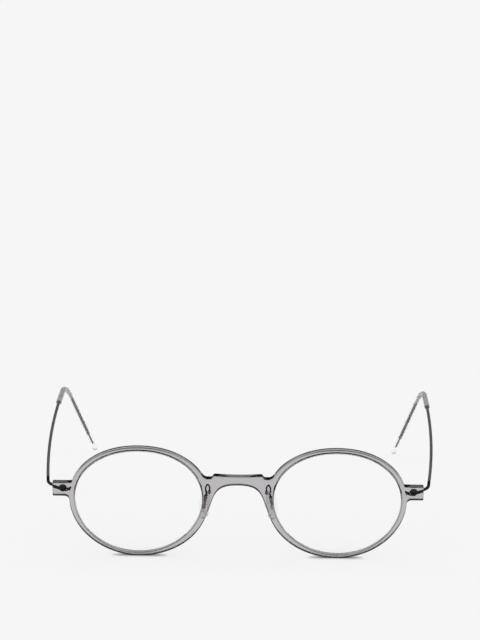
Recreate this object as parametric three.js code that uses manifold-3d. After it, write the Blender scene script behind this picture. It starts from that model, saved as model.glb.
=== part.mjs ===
// Round eyeglasses: a slim cut acetate front that holds two lenses, wire temples bent into eyes round
// upright hinge pins behind the lugs, soft ear sleeves, and clear nose pads that swivel on wire arms.
// Units are millimetres. The pieces are shaped in the front's own frame, with x across, y back from
// the front face and z up along the face from the lowest point of the rims. The right-hand side is
// modelled and the left is its mirror image. The finished part stands open on its rims and tips.
import * as THREE from "three";
import { mergeVertices } from "three/addons/utils/BufferGeometryUtils.js";
import Module from "manifold-3d";

const wasm = await Module();
wasm.setup();

// Lens openings and rims.
const LENS_SPACING = 69.3;
const OPENING_HALF_WIDTH = 22.15;
const OPENING_UP = 18.2;
const OPENING_DOWN = 21.2;
const RIM_TOP = 1.55;
const RIM_BOTTOM = 1.3;
const RIM_TEMPLE_SIDE = 2.05;
const RIM_NOSE_SIDE = 2.5;
const ROUNDNESS = 2.09;
const FRONT_THICKNESS = 2.4;
const EDGE_EASE = 0.3;
const FRONT_LEAN = THREE.MathUtils.degToRad(10.2);

// Bridge.
const BRIDGE_HEIGHT = 3.25;
const BRIDGE_RISE = 8.7;
const SHOULDER_RISE = 0.3;
const SHOULDER_STEP = 1.6;
const VALLEY_DROP = 0.85;
const VALLEY_SHARE = 0.96;
const ARCH_FOOT_SHARE = 0.953;
const ARCH_FOOT_DROP = 7.75;
const ARCH_JOIN_DROP = 3.55;
const ARCH_ROUND_SHARE = 0.7;
const ARCH_SIDE_SHARE = 0.72;
const ARCH_SIDE_LEAN = THREE.MathUtils.degToRad(16.2);

// Lugs.
const LUG_REACH = 5.75;
const LUG_TOP = 5.6;
const LUG_HEIGHT = 4.8;
const LUG_CORNER = 0.5;
const LUG_FILLET = 2.0;
const LUG_TOP_FILLET = 0.5;

// Lenses.
const LENS_THICKNESS = 1.3;
const LENS_BULGE = 1.5;
const LENS_EDGE_GAP = 0.13;
const LENS_BEVEL_GAP = 0.05;
const LENS_GAP = 0.08;
const GROOVE_DEPTH = 0.55;
const GROOVE_WIDTH = 0.8;

// Temple wires.
const WIRE_RADIUS = 0.45;
const WIRE_TIP_RADIUS = 0.3;
const WIRE_TIP_LENGTH = 6.2;
const TEMPLE_STANDOFF = 1.9;
const CORNER_RADIUS = 2.0;
const RUN_SETTLING = 1.6;
const RUN_LENGTH = 97;
const RUN_OUTWARD = THREE.MathUtils.degToRad(3.96);
const RUN_INWARD = THREE.MathUtils.degToRad(-3.43);
const RUN_DROP = THREE.MathUtils.degToRad(-7.26);
const EAR_RADIUS = 12;
const HOOK_DROP = THREE.MathUtils.degToRad(-59.5);
const HOOK_INWARD = THREE.MathUtils.degToRad(-28);

// Ear sleeves.
const SLEEVE_BORE_GAP = 0.07;
const SLEEVE_WALL = 0.38;
const SLEEVE_START = 13.4;
const SLEEVE_TIP = 3.2;

// Hinges: a headed pin that stands behind the lug, held by a two-legged wire bracket.
const HINGE_INSET = 3.35;
const HINGE_LEVEL = 1.3;
const PIN_RADIUS = 0.45;
const PIN_GAP = 0.05;
const PIN_HEAD_RADIUS = 1.05;
const PIN_HEAD_HEIGHT = 0.45;
const PIN_TAIL = 0.32;
const CAP_WALL = 0.25;
const CAP_HEIGHT = 0.25;
const EYE_TURNS = 0.8;
const EYE_CLEARANCE = 0.2;
const STRAND_TURN = THREE.MathUtils.degToRad(80);
const STRAND_RISE = THREE.MathUtils.degToRad(15);
const STRAND_BEND = 0.8;
const STACK_GAP = 0.06;
const BRACKET_RADIUS = 0.22;
const BRACKET_LEG_INSET = 0.4;
const BRACKET_LEG_DEPTH = 1.5;
const BRACKET_HIGH_LEG = 2.5;
const BRACKET_LOW_LEG = 1.85;
const BRACKET_LEG_STEP = 0.3;
const BRACKET_HOLE_GAP = 0.05;

// Nose pads: a wire arm set in a bush in the back of the front, and a soft pad that swivels on it.
const ARM_RADIUS = 0.33;
const ARM_INSET = 2.55;
const ARM_LEVEL = 2.35;
const ARM_STEM = 0.8;
const ARM_LOOP_HEIGHT = 2.0;
const ARM_LOOP_WIDTH = 1.3;
const ARM_LOOP_BACK = 1.5;
const BUSH_WALL = 0.2;
const BUSH_LENGTH = 1.5;
const BUSH_PROUD = 0.15;
const BUSH_GAP = 0.05;
const PIVOT_INSET = 1.3;
const PIVOT_SETBACK = 3.8;
const PIVOT_DROP = 3.25;
const PIVOT_OUTWARD = THREE.MathUtils.degToRad(8);
const PIVOT_BACKWARD = THREE.MathUtils.degToRad(10);
const PIVOT_GAP = 0.05;
const BEAD_RADIUS = 0.5;
const BEAD_GAP = 0.5;
const CORE_WALL = 0.18;
const CORE_LENGTH = 5.4;
const CORE_GAP = 0.06;
const CORE_TOP = 0.5;
const PAD_LENGTH = 12.2;
const PAD_WIDTH = 6.2;
const PAD_THICKNESS = 2.2;
const PAD_TOP_SHARE = 0.82;
const PAD_ROUND = 0.85;
const PAD_SPLAY = THREE.MathUtils.degToRad(20);
const PAD_CROWN = 1.192;

// How finely round forms are cut.
const OUTLINE_STEPS = 60;
const CURVE_STEPS = 8;
const LENS_RINGS = 4;
const WIRE_SIDES = 10;
const SLEEVE_SIDES = 12;
const EYE_STEPS_PER_TURN = 16;
const STRAND_STEPS = 2;
const CORNER_STEPS = 7;
const RUN_STEPS = 16;
const EAR_STEPS = 12;
const HOOK_STEPS = 3;
const TIP_STEPS = 2;
const BEND_STEPS = 4;
const ROUND_STEPS = 2;
const EASE_STEPS = 1;
const PIN_SIDES = 16;
const CUT_OVERRUN = 1.0;
const WELD = 1e-4;

// Places that follow from the sizes above.
const LENS_CENTRE = LENS_SPACING / 2;
const OPENING_NOSE_EDGE = LENS_CENTRE - OPENING_HALF_WIDTH;
const RIM_NOSE_EDGE = OPENING_NOSE_EDGE - RIM_NOSE_SIDE;
const RIM_TEMPLE_EDGE = LENS_CENTRE + OPENING_HALF_WIDTH + RIM_TEMPLE_SIDE;
const WIDEST_LEVEL = OPENING_DOWN + RIM_BOTTOM;
const OUTER_UP = OPENING_UP + RIM_TOP;
const OUTER_DOWN = OPENING_DOWN + RIM_BOTTOM;
const BRIDGE_TOP = WIDEST_LEVEL + BRIDGE_RISE;
const ARCH_TOP = BRIDGE_TOP - BRIDGE_HEIGHT;
const ARCH_FOOT_LEVEL = ARCH_TOP - ARCH_FOOT_DROP;
const VALLEY_HALF_WIDTH = RIM_NOSE_EDGE * VALLEY_SHARE;
const SHOULDER_HALF_WIDTH = VALLEY_HALF_WIDTH - SHOULDER_STEP;
const ARCH_FOOT_HALF_WIDTH = RIM_NOSE_EDGE * ARCH_FOOT_SHARE;
const LUG_END = RIM_TEMPLE_EDGE + LUG_REACH;
const LUG_TOP_LEVEL = WIDEST_LEVEL + LUG_TOP;
const LUG_BOTTOM_LEVEL = LUG_TOP_LEVEL - LUG_HEIGHT;
const GROOVE_MIDDLE = FRONT_THICKNESS / 2;
const LENS_EDGE = GROOVE_DEPTH - LENS_EDGE_GAP;
const LENS_BEVEL = GROOVE_WIDTH / 2 - LENS_BEVEL_GAP;
const TEMPLE_HALF_SPREAD = LUG_END + TEMPLE_STANDOFF;
const SLEEVE_RADIUS = WIRE_RADIUS + SLEEVE_BORE_GAP + SLEEVE_WALL;
const HINGE_X = LUG_END - HINGE_INSET;
const EYE_RADIUS = PIN_RADIUS + PIN_GAP + WIRE_RADIUS;
const HINGE_Y = FRONT_THICKNESS + EYE_CLEARANCE + WIRE_RADIUS + EYE_RADIUS;
const EYE_LEVEL = LUG_BOTTOM_LEVEL + HINGE_LEVEL;
const BRACKET_EYE_RADIUS = PIN_RADIUS + PIN_GAP + BRACKET_RADIUS;
const BRACKET_LEVEL = EYE_LEVEL - WIRE_RADIUS - STACK_GAP - BRACKET_RADIUS;
const CAP_TOP_LEVEL = BRACKET_LEVEL - BRACKET_RADIUS - STACK_GAP;
const CAP_RADIUS = PIN_RADIUS + PIN_GAP + CAP_WALL;
const ARM_Z = WIDEST_LEVEL + ARM_LEVEL;
const ARM_HALF_SPREAD = OPENING_NOSE_EDGE - ARM_INSET;
const BUSH_RADIUS = ARM_RADIUS + BUSH_GAP + BUSH_WALL;
const PIVOT_HALF_SPREAD = OPENING_NOSE_EDGE - PIVOT_INSET;
const PIVOT_BACK = FRONT_THICKNESS + PIVOT_SETBACK;
const CORE_RADIUS = ARM_RADIUS + PIVOT_GAP + CORE_WALL;
const PIVOT_LENGTH = CORE_TOP + CORE_LENGTH + BEAD_GAP + BEAD_RADIUS;

// A closed geometry as a solid that can be joined and cut.
function solid(geometry) {
  geometry.deleteAttribute("normal");
  geometry.deleteAttribute("uv");
  const welded = mergeVertices(geometry, WELD);
  const vertProperties = new Float32Array(welded.attributes.position.array);
  const triVerts = new Uint32Array(welded.index.array);
  return new wasm.Manifold(new wasm.Mesh({ numProp: 3, vertProperties, triVerts }));
}

// A solid as a geometry for a mesh.
function geometryOf(made) {
  const mesh = made.getMesh();
  const geometry = new THREE.BufferGeometry();
  geometry.setAttribute("position", new THREE.BufferAttribute(mesh.vertProperties, 3));
  geometry.setIndex(new THREE.BufferAttribute(mesh.triVerts, 1));
  const faceted = geometry.toNonIndexed();
  faceted.computeVertexNormals();
  return faceted;
}

// A point of a lens-like outline about the middle of its widest line. It is a slightly squared circle
// that reaches further down than up.
function outlinePoint(angle, halfWidth, up, down) {
  const cosine = Math.cos(angle);
  const sine = Math.sin(angle);
  const x = halfWidth * Math.sign(cosine) * Math.abs(cosine) ** (2 / ROUNDNESS);
  const reach = sine > 0 ? up : down;
  const z = reach * Math.sign(sine) * Math.abs(sine) ** (2 / ROUNDNESS);
  return new THREE.Vector2(x, z);
}

// The angle at which the rim's outer edge on the temple side stands at a level.
function rimAngle(level) {
  const height = level - WIDEST_LEVEL;
  const reach = height > 0 ? OUTER_UP : OUTER_DOWN;
  return Math.sign(height) * Math.asin((Math.abs(height) / reach) ** (ROUNDNESS / 2));
}

// A point of the right rim's outer edge, in the front's frame.
function rimPoint(angle) {
  const side = Math.cos(angle) > 0 ? RIM_TEMPLE_SIDE : RIM_NOSE_SIDE;
  const point = outlinePoint(angle, OPENING_HALF_WIDTH + side, OUTER_UP, OUTER_DOWN);
  return point.add(new THREE.Vector2(LENS_CENTRE, WIDEST_LEVEL));
}

// The rim's outer edge from one angle to another.
function rimStretch(path, from, to) {
  const steps = Math.ceil((Math.abs(to - from) / (2 * Math.PI)) * OUTLINE_STEPS);
  for (let step = 0; step <= steps; step += 1) {
    const point = rimPoint(from + ((to - from) * step) / steps);
    path.lineTo(point.x, point.y);
  }
}

// The right half of the front's outline, from the middle of the bridge's top round to its underside.
function halfOutline() {
  const path = new THREE.Path();
  const shoulder = BRIDGE_TOP + SHOULDER_RISE;
  const valley = BRIDGE_TOP - VALLEY_DROP;
  const valleyAngle = Math.PI - rimAngle(valley);
  const rimAtValley = rimPoint(valleyAngle);
  path.moveTo(0, BRIDGE_TOP);
  path.quadraticCurveTo(SHOULDER_HALF_WIDTH / 2, BRIDGE_TOP, SHOULDER_HALF_WIDTH, shoulder);
  path.bezierCurveTo(
    (SHOULDER_HALF_WIDTH + VALLEY_HALF_WIDTH) / 2,
    shoulder,
    (SHOULDER_HALF_WIDTH + VALLEY_HALF_WIDTH) / 2,
    valley,
    VALLEY_HALF_WIDTH,
    valley,
  );
  const aboveValley = rimPoint(valleyAngle - (2 * Math.PI) / OUTLINE_STEPS);
  path.lineTo((VALLEY_HALF_WIDTH + rimAtValley.x) / 2, valley);
  path.quadraticCurveTo(rimAtValley.x, valley, aboveValley.x, aboveValley.y);
  const lugTopAngle = rimAngle(LUG_TOP_LEVEL + LUG_TOP_FILLET);
  rimStretch(path, valleyAngle - (2 * Math.PI) / OUTLINE_STEPS, lugTopAngle);
  const rimAtLug = rimPoint(rimAngle(LUG_TOP_LEVEL));
  path.quadraticCurveTo(
    rimAtLug.x,
    LUG_TOP_LEVEL,
    rimAtLug.x + LUG_TOP_FILLET,
    LUG_TOP_LEVEL,
  );
  path.lineTo(LUG_END - LUG_CORNER, LUG_TOP_LEVEL);
  path.quadraticCurveTo(LUG_END, LUG_TOP_LEVEL, LUG_END, LUG_TOP_LEVEL - LUG_CORNER);
  path.lineTo(LUG_END, LUG_BOTTOM_LEVEL + LUG_CORNER);
  path.quadraticCurveTo(LUG_END, LUG_BOTTOM_LEVEL, LUG_END - LUG_CORNER, LUG_BOTTOM_LEVEL);
  const underAngle = rimAngle(LUG_BOTTOM_LEVEL - LUG_FILLET);
  const rimUnderLug = rimPoint(underAngle);
  path.lineTo(rimUnderLug.x + LUG_FILLET, LUG_BOTTOM_LEVEL);
  path.quadraticCurveTo(rimUnderLug.x, LUG_BOTTOM_LEVEL, rimUnderLug.x, rimUnderLug.y);
  const joinAngle = -Math.PI - rimAngle(ARCH_FOOT_LEVEL - ARCH_JOIN_DROP);
  rimStretch(path, underAngle, joinAngle);
  const pull = ARCH_FOOT_DROP * ARCH_SIDE_SHARE;
  path.lineTo(ARCH_FOOT_HALF_WIDTH, ARCH_FOOT_LEVEL);
  path.bezierCurveTo(
    ARCH_FOOT_HALF_WIDTH - pull * Math.sin(ARCH_SIDE_LEAN),
    ARCH_FOOT_LEVEL + pull * Math.cos(ARCH_SIDE_LEAN),
    ARCH_FOOT_HALF_WIDTH * ARCH_ROUND_SHARE,
    ARCH_TOP,
    0,
    ARCH_TOP,
  );
  return path.getPoints(CURVE_STEPS);
}

// The whole front's outline, with the two lens openings.
function frontShape() {
  const right = halfOutline();
  const left = right.slice(1, -1).map((point) => new THREE.Vector2(-point.x, point.y));
  const shape = new THREE.Shape([...right, ...left.reverse()]);
  for (const side of [1, -1]) {
    const opening = [];
    for (let step = 0; step < OUTLINE_STEPS; step += 1) {
      const angle = (side * 2 * Math.PI * step) / OUTLINE_STEPS;
      const point = outlinePoint(angle, OPENING_HALF_WIDTH, OPENING_UP, OPENING_DOWN);
      opening.push(new THREE.Vector2(side * (LENS_CENTRE + point.x), WIDEST_LEVEL + point.y));
    }
    shape.holes.push(new THREE.Path(opening));
  }
  return shape;
}

// A flat shape as a plate with eased edges, from its front face at y zero back to its thickness.
function plate(shape, thickness, round, roundSteps) {
  const geometry = new THREE.ExtrudeGeometry(shape, {
    depth: thickness - 2 * round,
    bevelEnabled: true,
    bevelThickness: round,
    bevelSize: round,
    bevelOffset: -round,
    bevelSegments: roundSteps,
    steps: 1,
  });
  geometry.rotateX(Math.PI / 2);
  geometry.translate(0, thickness - round, 0);
  return geometry;
}

// A revolved profile drawn out to the lens outline. The profile gives the distance from the lens
// centre along the widest line, and the depth behind the front face.
function drawnToOutline(profile) {
  const geometry = new THREE.LatheGeometry(profile, OUTLINE_STEPS);
  const position = geometry.attributes.position;
  for (let index = 0; index < position.count; index += 1) {
    const x = position.getX(index);
    const z = position.getZ(index);
    const radius = Math.hypot(x, z);
    const share = Math.min(radius / OPENING_HALF_WIDTH, 1);
    const beyond = Math.max(radius - OPENING_HALF_WIDTH, 0);
    const up = OPENING_UP * share + beyond;
    const down = OPENING_DOWN * share + beyond;
    const point = outlinePoint(Math.atan2(z, x), radius, up, down);
    position.setXYZ(index, LENS_CENTRE + point.x, position.getY(index), WIDEST_LEVEL + point.y);
  }
  return geometry;
}

// A lens: domed forwards, hollow behind, with a pointed edge that sits in the rim's groove.
function lensGeometry() {
  const shoulder = OPENING_HALF_WIDTH - LENS_GAP;
  const half = LENS_THICKNESS / 2;
  const profile = [];
  for (let ring = 0; ring <= LENS_RINGS; ring += 1) {
    const share = ring / LENS_RINGS;
    const bulge = LENS_BULGE * (1 - share ** 2);
    profile.push(new THREE.Vector2(shoulder * share, GROOVE_MIDDLE - half - bulge));
  }
  profile.push(new THREE.Vector2(shoulder, GROOVE_MIDDLE - LENS_BEVEL));
  profile.push(new THREE.Vector2(OPENING_HALF_WIDTH + LENS_EDGE, GROOVE_MIDDLE));
  profile.push(new THREE.Vector2(shoulder, GROOVE_MIDDLE + LENS_BEVEL));
  for (let ring = LENS_RINGS; ring >= 0; ring -= 1) {
    const share = ring / LENS_RINGS;
    const bulge = LENS_BULGE * (1 - share ** 2);
    profile.push(new THREE.Vector2(shoulder * share, GROOVE_MIDDLE + half - bulge));
  }
  return drawnToOutline(profile);
}

// The space that the groove takes from the rim round one opening.
function grooveSolid() {
  const mouth = OPENING_HALF_WIDTH - GROOVE_DEPTH;
  const profile = [
    new THREE.Vector2(mouth, GROOVE_MIDDLE - GROOVE_WIDTH),
    new THREE.Vector2(OPENING_HALF_WIDTH + GROOVE_DEPTH, GROOVE_MIDDLE),
    new THREE.Vector2(mouth, GROOVE_MIDDLE + GROOVE_WIDTH),
    new THREE.Vector2(mouth, GROOVE_MIDDLE - GROOVE_WIDTH),
  ];
  return solid(drawnToOutline(profile));
}

// A round rod between two depths at a place on the front, running straight back.
function rodBack(x, z, radius, from, to) {
  const geometry = new THREE.CylinderGeometry(radius, radius, to - from, PIN_SIDES);
  geometry.translate(x, (from + to) / 2, z);
  return geometry;
}

// A route through points that are already spaced as the tube along it should be cut.
class Route extends THREE.Curve {
  constructor(points) {
    super();
    this.points = points;
  }
  getPoint(t, target = new THREE.Vector3()) {
    const place = t * (this.points.length - 1);
    const index = Math.min(Math.floor(place), this.points.length - 2);
    return target.copy(this.points[index]).lerp(this.points[index + 1], place - index);
  }
  getPointAt(t, target) {
    return this.getPoint(t, target);
  }
  getTangent(t, target = new THREE.Vector3()) {
    const last = this.points.length - 1;
    const index = Math.round(t * last);
    const before = this.points[Math.max(index - 1, 0)];
    const after = this.points[Math.min(index + 1, last)];
    return target.copy(after).sub(before).normalize();
  }
  getTangentAt(t, target) {
    return this.getTangent(t, target);
  }
}

// A round tube along a list of points.
function tube(points, radius, sides = WIRE_SIDES) {
  const section = new THREE.Shape();
  section.absarc(0, 0, radius, 0, 2 * Math.PI, false);
  return new THREE.ExtrudeGeometry(section, {
    steps: points.length - 1,
    extrudePath: new Route(points),
    curveSegments: sides / 2,
  });
}

// Points along a wire that is bent in legs. A leg gives its length, the heading at its end, and how
// many steps it is cut into. A heading is the turn outwards from straight back, and the slope up.
function bentWire(start, startHeading, legs) {
  const points = [start.clone()];
  const place = start.clone();
  let heading = startHeading;
  for (const leg of legs) {
    const stride = leg.length / leg.steps;
    for (let step = 0; step < leg.steps; step += 1) {
      const share = (step + 1 / 2) / leg.steps;
      const turn = THREE.MathUtils.lerp(heading.turn, leg.turn, share);
      const slope = THREE.MathUtils.lerp(heading.slope, leg.slope, share);
      place.x += stride * Math.cos(slope) * Math.sin(turn);
      place.y += stride * Math.cos(slope) * Math.cos(turn);
      place.z += stride * Math.sin(slope);
      points.push(place.clone());
    }
    heading = leg;
  }
  return points;
}

// How high a point of the front's frame stands over the floor that the rims rest on.
function heightOverFloor(point) {
  return point.z * Math.cos(FRONT_LEAN) + point.y * Math.sin(FRONT_LEAN);
}

// The eye that the temple wire bends round the pin, from its free end to where the wire leaves it.
function eyePoints() {
  const points = [];
  const steps = Math.ceil(EYE_STEPS_PER_TURN * EYE_TURNS);
  for (let step = 0; step <= steps; step += 1) {
    const turns = (step / steps - 1) * EYE_TURNS;
    const angle = 2 * Math.PI * turns + Math.PI / 2 - STRAND_TURN;
    const x = HINGE_X + EYE_RADIUS * Math.sin(angle);
    const y = HINGE_Y - EYE_RADIUS * Math.cos(angle);
    points.push(new THREE.Vector3(x, y, EYE_LEVEL));
  }
  return points;
}

// The temple wire from the pin to the end of the ear bend, and the hook down to the floor.
function templeRoute() {
  const eye = eyePoints();
  const eyeEnd = eye[eye.length - 1];
  const rising = { turn: STRAND_TURN, slope: STRAND_RISE };
  const corner = STRAND_TURN - RUN_OUTWARD;
  const cornerReach = CORNER_RADIUS * (Math.cos(RUN_OUTWARD) - Math.cos(STRAND_TURN));
  const reach = TEMPLE_HALF_SPREAD - cornerReach - eyeEnd.x - STRAND_BEND;
  const strand = reach / (Math.cos(STRAND_RISE) * Math.sin(STRAND_TURN));
  const earTurn = Math.hypot(HOOK_DROP - RUN_DROP, HOOK_INWARD / 2);
  const run = bentWire(eyeEnd, { turn: STRAND_TURN, slope: 0 }, [
    { ...rising, length: STRAND_BEND, steps: STRAND_STEPS },
    { ...rising, length: strand, steps: STRAND_STEPS },
    { turn: RUN_OUTWARD, slope: STRAND_RISE, length: CORNER_RADIUS * corner, steps: CORNER_STEPS },
    { turn: RUN_OUTWARD, slope: RUN_DROP, length: RUN_SETTLING, steps: STRAND_STEPS },
    { turn: RUN_INWARD, slope: RUN_DROP, length: RUN_LENGTH, steps: RUN_STEPS },
    { turn: HOOK_INWARD, slope: HOOK_DROP, length: EAR_RADIUS * earTurn, steps: EAR_STEPS },
  ]);
  const hookHeading = { turn: HOOK_INWARD, slope: HOOK_DROP };
  const earEnd = run[run.length - 1];
  const down = bentWire(new THREE.Vector3(), hookHeading, [
    { ...hookHeading, length: WIRE_RADIUS, steps: 1 },
  ])[1];
  const fall = -heightOverFloor(down) / WIRE_RADIUS;
  const rest = EDGE_EASE * Math.sin(FRONT_LEAN) + SLEEVE_RADIUS;
  const hookLength = (heightOverFloor(earEnd) - rest) / fall;
  const wireEnd = hookLength - SLEEVE_TIP;
  const thick = wireEnd - WIRE_TIP_LENGTH;
  const hook = bentWire(earEnd, hookHeading, [
    { ...hookHeading, length: thick, steps: HOOK_STEPS },
  ]);
  const thin = bentWire(hook[hook.length - 1], hookHeading, [
    { ...hookHeading, length: WIRE_TIP_LENGTH, steps: TIP_STEPS },
  ]);
  const tip = bentWire(thin[thin.length - 1], hookHeading, [
    { ...hookHeading, length: SLEEVE_TIP, steps: 1 },
  ]);
  return { eye, run, hook, thin, tip };
}

// The point that lies so far past the end of a wire, along its last leg.
function pastEnd(points, distance) {
  const last = points[points.length - 1];
  const before = points[points.length - 2];
  return last.clone().sub(before).setLength(distance).add(last);
}

// The stretch of the temple that the ear sleeve covers: the last of the run, the bend and the hook.
function sleeveRoute(route) {
  const earStart = route.run.length - 1 - EAR_STEPS;
  const back = (SLEEVE_START / RUN_LENGTH) * RUN_STEPS;
  const whole = Math.ceil(back);
  const first = route.run[earStart - whole].clone();
  first.lerp(route.run[earStart - whole + 1], whole - back);
  return [first, ...route.run.slice(earStart - whole + 1), ...route.hook.slice(1)];
}

function templeWireGeometry(route) {
  const stout = [...route.eye, ...route.run.slice(1), ...route.hook.slice(1)];
  const tail = [route.hook[route.hook.length - 2], ...route.thin];
  return geometryOf(solid(tube(stout, WIRE_RADIUS)).add(solid(tube(tail, WIRE_TIP_RADIUS))));
}

// A soft tube over the temple's end, closed and rounded at the tip.
function sleeveGeometry(route) {
  const covered = sleeveRoute(route);
  const outside = [...covered, ...route.thin.slice(1), route.tip[1]];
  const end = new THREE.SphereGeometry(SLEEVE_RADIUS, SLEEVE_SIDES, SLEEVE_SIDES / 2);
  const tip = route.tip[1];
  end.translate(tip.x, tip.y, tip.z);
  const body = solid(tube(outside, SLEEVE_RADIUS, SLEEVE_SIDES)).add(solid(end));
  const beforeMouth = pastEnd([covered[1], covered[0]], CUT_OVERRUN);
  const wide = [beforeMouth, ...covered, pastEnd(covered, SLEEVE_BORE_GAP)];
  const narrow = [covered[covered.length - 2], ...route.thin, pastEnd(route.thin, SLEEVE_BORE_GAP)];
  const wideBore = solid(tube(wide, WIRE_RADIUS + SLEEVE_BORE_GAP));
  const narrowBore = solid(tube(narrow, WIRE_TIP_RADIUS + SLEEVE_BORE_GAP));
  return geometryOf(body.subtract(wideBore).subtract(narrowBore));
}

// The hinge bracket: one wire with both ends in the lug, bent round the pin under the temple's eye.
function bracketPoints() {
  const depth = FRONT_THICKNESS - BRACKET_LEG_DEPTH;
  const highLeg = LUG_BOTTOM_LEVEL + BRACKET_HIGH_LEG;
  const lowLeg = LUG_BOTTOM_LEVEL + BRACKET_LOW_LEG;
  const highX = RIM_TEMPLE_EDGE - BRACKET_LEG_INSET;
  const lowX = highX + BRACKET_LEG_STEP;
  const eyeX = HINGE_X - EYE_RADIUS - WIRE_RADIUS;
  const rear = HINGE_Y + BRACKET_EYE_RADIUS;
  const near = HINGE_Y - BRACKET_EYE_RADIUS;
  const clear = FRONT_THICKNESS + BRACKET_RADIUS;
  const guide = [
    new THREE.Vector3(highX, depth, highLeg),
    new THREE.Vector3(highX, FRONT_THICKNESS, highLeg),
    new THREE.Vector3(highX, clear, highLeg),
    new THREE.Vector3(highX, rear - BRACKET_EYE_RADIUS, (highLeg + BRACKET_LEVEL) / 2),
    new THREE.Vector3(eyeX, rear, BRACKET_LEVEL),
  ];
  for (let step = 0; step <= EYE_STEPS_PER_TURN / 2; step += 1) {
    const angle = (2 * Math.PI * step) / EYE_STEPS_PER_TURN;
    const x = HINGE_X + BRACKET_EYE_RADIUS * Math.sin(angle);
    const y = HINGE_Y + BRACKET_EYE_RADIUS * Math.cos(angle);
    guide.push(new THREE.Vector3(x, y, BRACKET_LEVEL));
  }
  guide.push(new THREE.Vector3(eyeX, near, BRACKET_LEVEL));
  guide.push(new THREE.Vector3(lowX, clear, lowLeg));
  guide.push(new THREE.Vector3(lowX, FRONT_THICKNESS, lowLeg));
  guide.push(new THREE.Vector3(lowX, depth, lowLeg));
  const curve = new THREE.CatmullRomCurve3(guide, false, "centripetal");
  return { points: curve.getPoints(ROUND_STEPS * guide.length), highX, lowX, highLeg, lowLeg, depth };
}

// A pin that stands on the hinge axis: a domed head over the eye and a plain shank down to its tail.
function pinGeometry() {
  const under = EYE_LEVEL + WIRE_RADIUS + STACK_GAP;
  const bottom = CAP_TOP_LEVEL - PIN_TAIL;
  const profile = [new THREE.Vector2(0, bottom), new THREE.Vector2(PIN_RADIUS, bottom)];
  profile.push(new THREE.Vector2(PIN_RADIUS, under));
  for (let step = 0; step <= CURVE_STEPS; step += 1) {
    const angle = ((Math.PI / 2) * step) / CURVE_STEPS;
    const radius = step < CURVE_STEPS ? PIN_HEAD_RADIUS * Math.cos(angle) : 0;
    profile.push(new THREE.Vector2(radius, under + PIN_HEAD_HEIGHT * Math.sin(angle)));
  }
  return uprightLathe(profile, HINGE_X, HINGE_Y);
}

// The cap riveted on the pin's tail, which keeps the bracket and the temple's eye on the pin.
function capGeometry() {
  const hole = PIN_RADIUS + PIN_GAP;
  const bottom = CAP_TOP_LEVEL - CAP_HEIGHT;
  const profile = [
    new THREE.Vector2(hole, bottom),
    new THREE.Vector2((CAP_RADIUS + hole) / 2, bottom),
    new THREE.Vector2(CAP_RADIUS, (bottom + CAP_TOP_LEVEL) / 2),
    new THREE.Vector2(CAP_RADIUS, CAP_TOP_LEVEL),
    new THREE.Vector2(hole, CAP_TOP_LEVEL),
    new THREE.Vector2(hole, bottom),
  ];
  return uprightLathe(profile, HINGE_X, HINGE_Y);
}

// A profile of radii and heights, revolved round an upright axis.
function uprightLathe(profile, x, y) {
  const geometry = new THREE.LatheGeometry(profile, PIN_SIDES);
  geometry.rotateX(Math.PI / 2);
  geometry.translate(x, y, 0);
  return geometry;
}

// The nose pad's swivel axis: its top end, and its direction down, outwards and back.
const PIVOT_TOP = new THREE.Vector3(PIVOT_HALF_SPREAD, PIVOT_BACK, ARM_Z - PIVOT_DROP);
const PIVOT_DOWN = new THREE.Vector3(Math.tan(PIVOT_OUTWARD), Math.tan(PIVOT_BACKWARD), -1);
PIVOT_DOWN.normalize();

// A point on the swivel axis, so far below its top end.
function onPivot(distance) {
  return PIVOT_TOP.clone().addScaledVector(PIVOT_DOWN, distance);
}

// The arm that carries a nose pad: up in a loop behind the bridge, and down into the pad.
function padArmGeometry() {
  const set = FRONT_THICKNESS + BUSH_PROUD - BUSH_LENGTH + BUSH_GAP;
  const mouth = FRONT_THICKNESS + BUSH_PROUD;
  const stem = FRONT_THICKNESS + ARM_STEM;
  const far = FRONT_THICKNESS + ARM_LOOP_BACK;
  const outer = ARM_HALF_SPREAD + ARM_LOOP_WIDTH;
  const guide = [
    new THREE.Vector3(ARM_HALF_SPREAD, set, ARM_Z),
    new THREE.Vector3(ARM_HALF_SPREAD, mouth, ARM_Z),
    new THREE.Vector3(ARM_HALF_SPREAD, stem, ARM_Z),
    new THREE.Vector3(ARM_HALF_SPREAD, far, ARM_Z + ARM_LOOP_HEIGHT / 2),
    new THREE.Vector3((ARM_HALF_SPREAD + outer) / 2, far, ARM_Z + ARM_LOOP_HEIGHT),
    new THREE.Vector3(outer, far, ARM_Z + ARM_LOOP_HEIGHT / 2),
    new THREE.Vector3(outer, (far + PIVOT_BACK) / 2, ARM_Z - PIVOT_DROP / 4),
    onPivot(-PIVOT_DROP / 4),
    onPivot(0),
  ];
  const curve = new THREE.CatmullRomCurve3(guide, false, "centripetal");
  const bent = curve.getPoints(BEND_STEPS * guide.length);
  const wire = solid(tube([...bent, onPivot(PIVOT_LENGTH)], ARM_RADIUS));
  const bead = new THREE.SphereGeometry(BEAD_RADIUS, WIRE_SIDES, WIRE_SIDES / 2);
  const end = onPivot(PIVOT_LENGTH);
  bead.translate(end.x, end.y, end.z);
  return geometryOf(wire.add(solid(bead)));
}

// The metal bush that grips the arm's end in the back of the front.
function bushGeometry() {
  const back = FRONT_THICKNESS + BUSH_PROUD;
  const hole = ARM_RADIUS + BUSH_GAP;
  const outside = rodBack(ARM_HALF_SPREAD, ARM_Z, BUSH_RADIUS, back - BUSH_LENGTH, back);
  const front = back - BUSH_LENGTH;
  const bore = rodBack(ARM_HALF_SPREAD, ARM_Z, hole, front - CUT_OVERRUN, back + CUT_OVERRUN);
  return geometryOf(solid(outside).subtract(solid(bore)));
}

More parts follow.
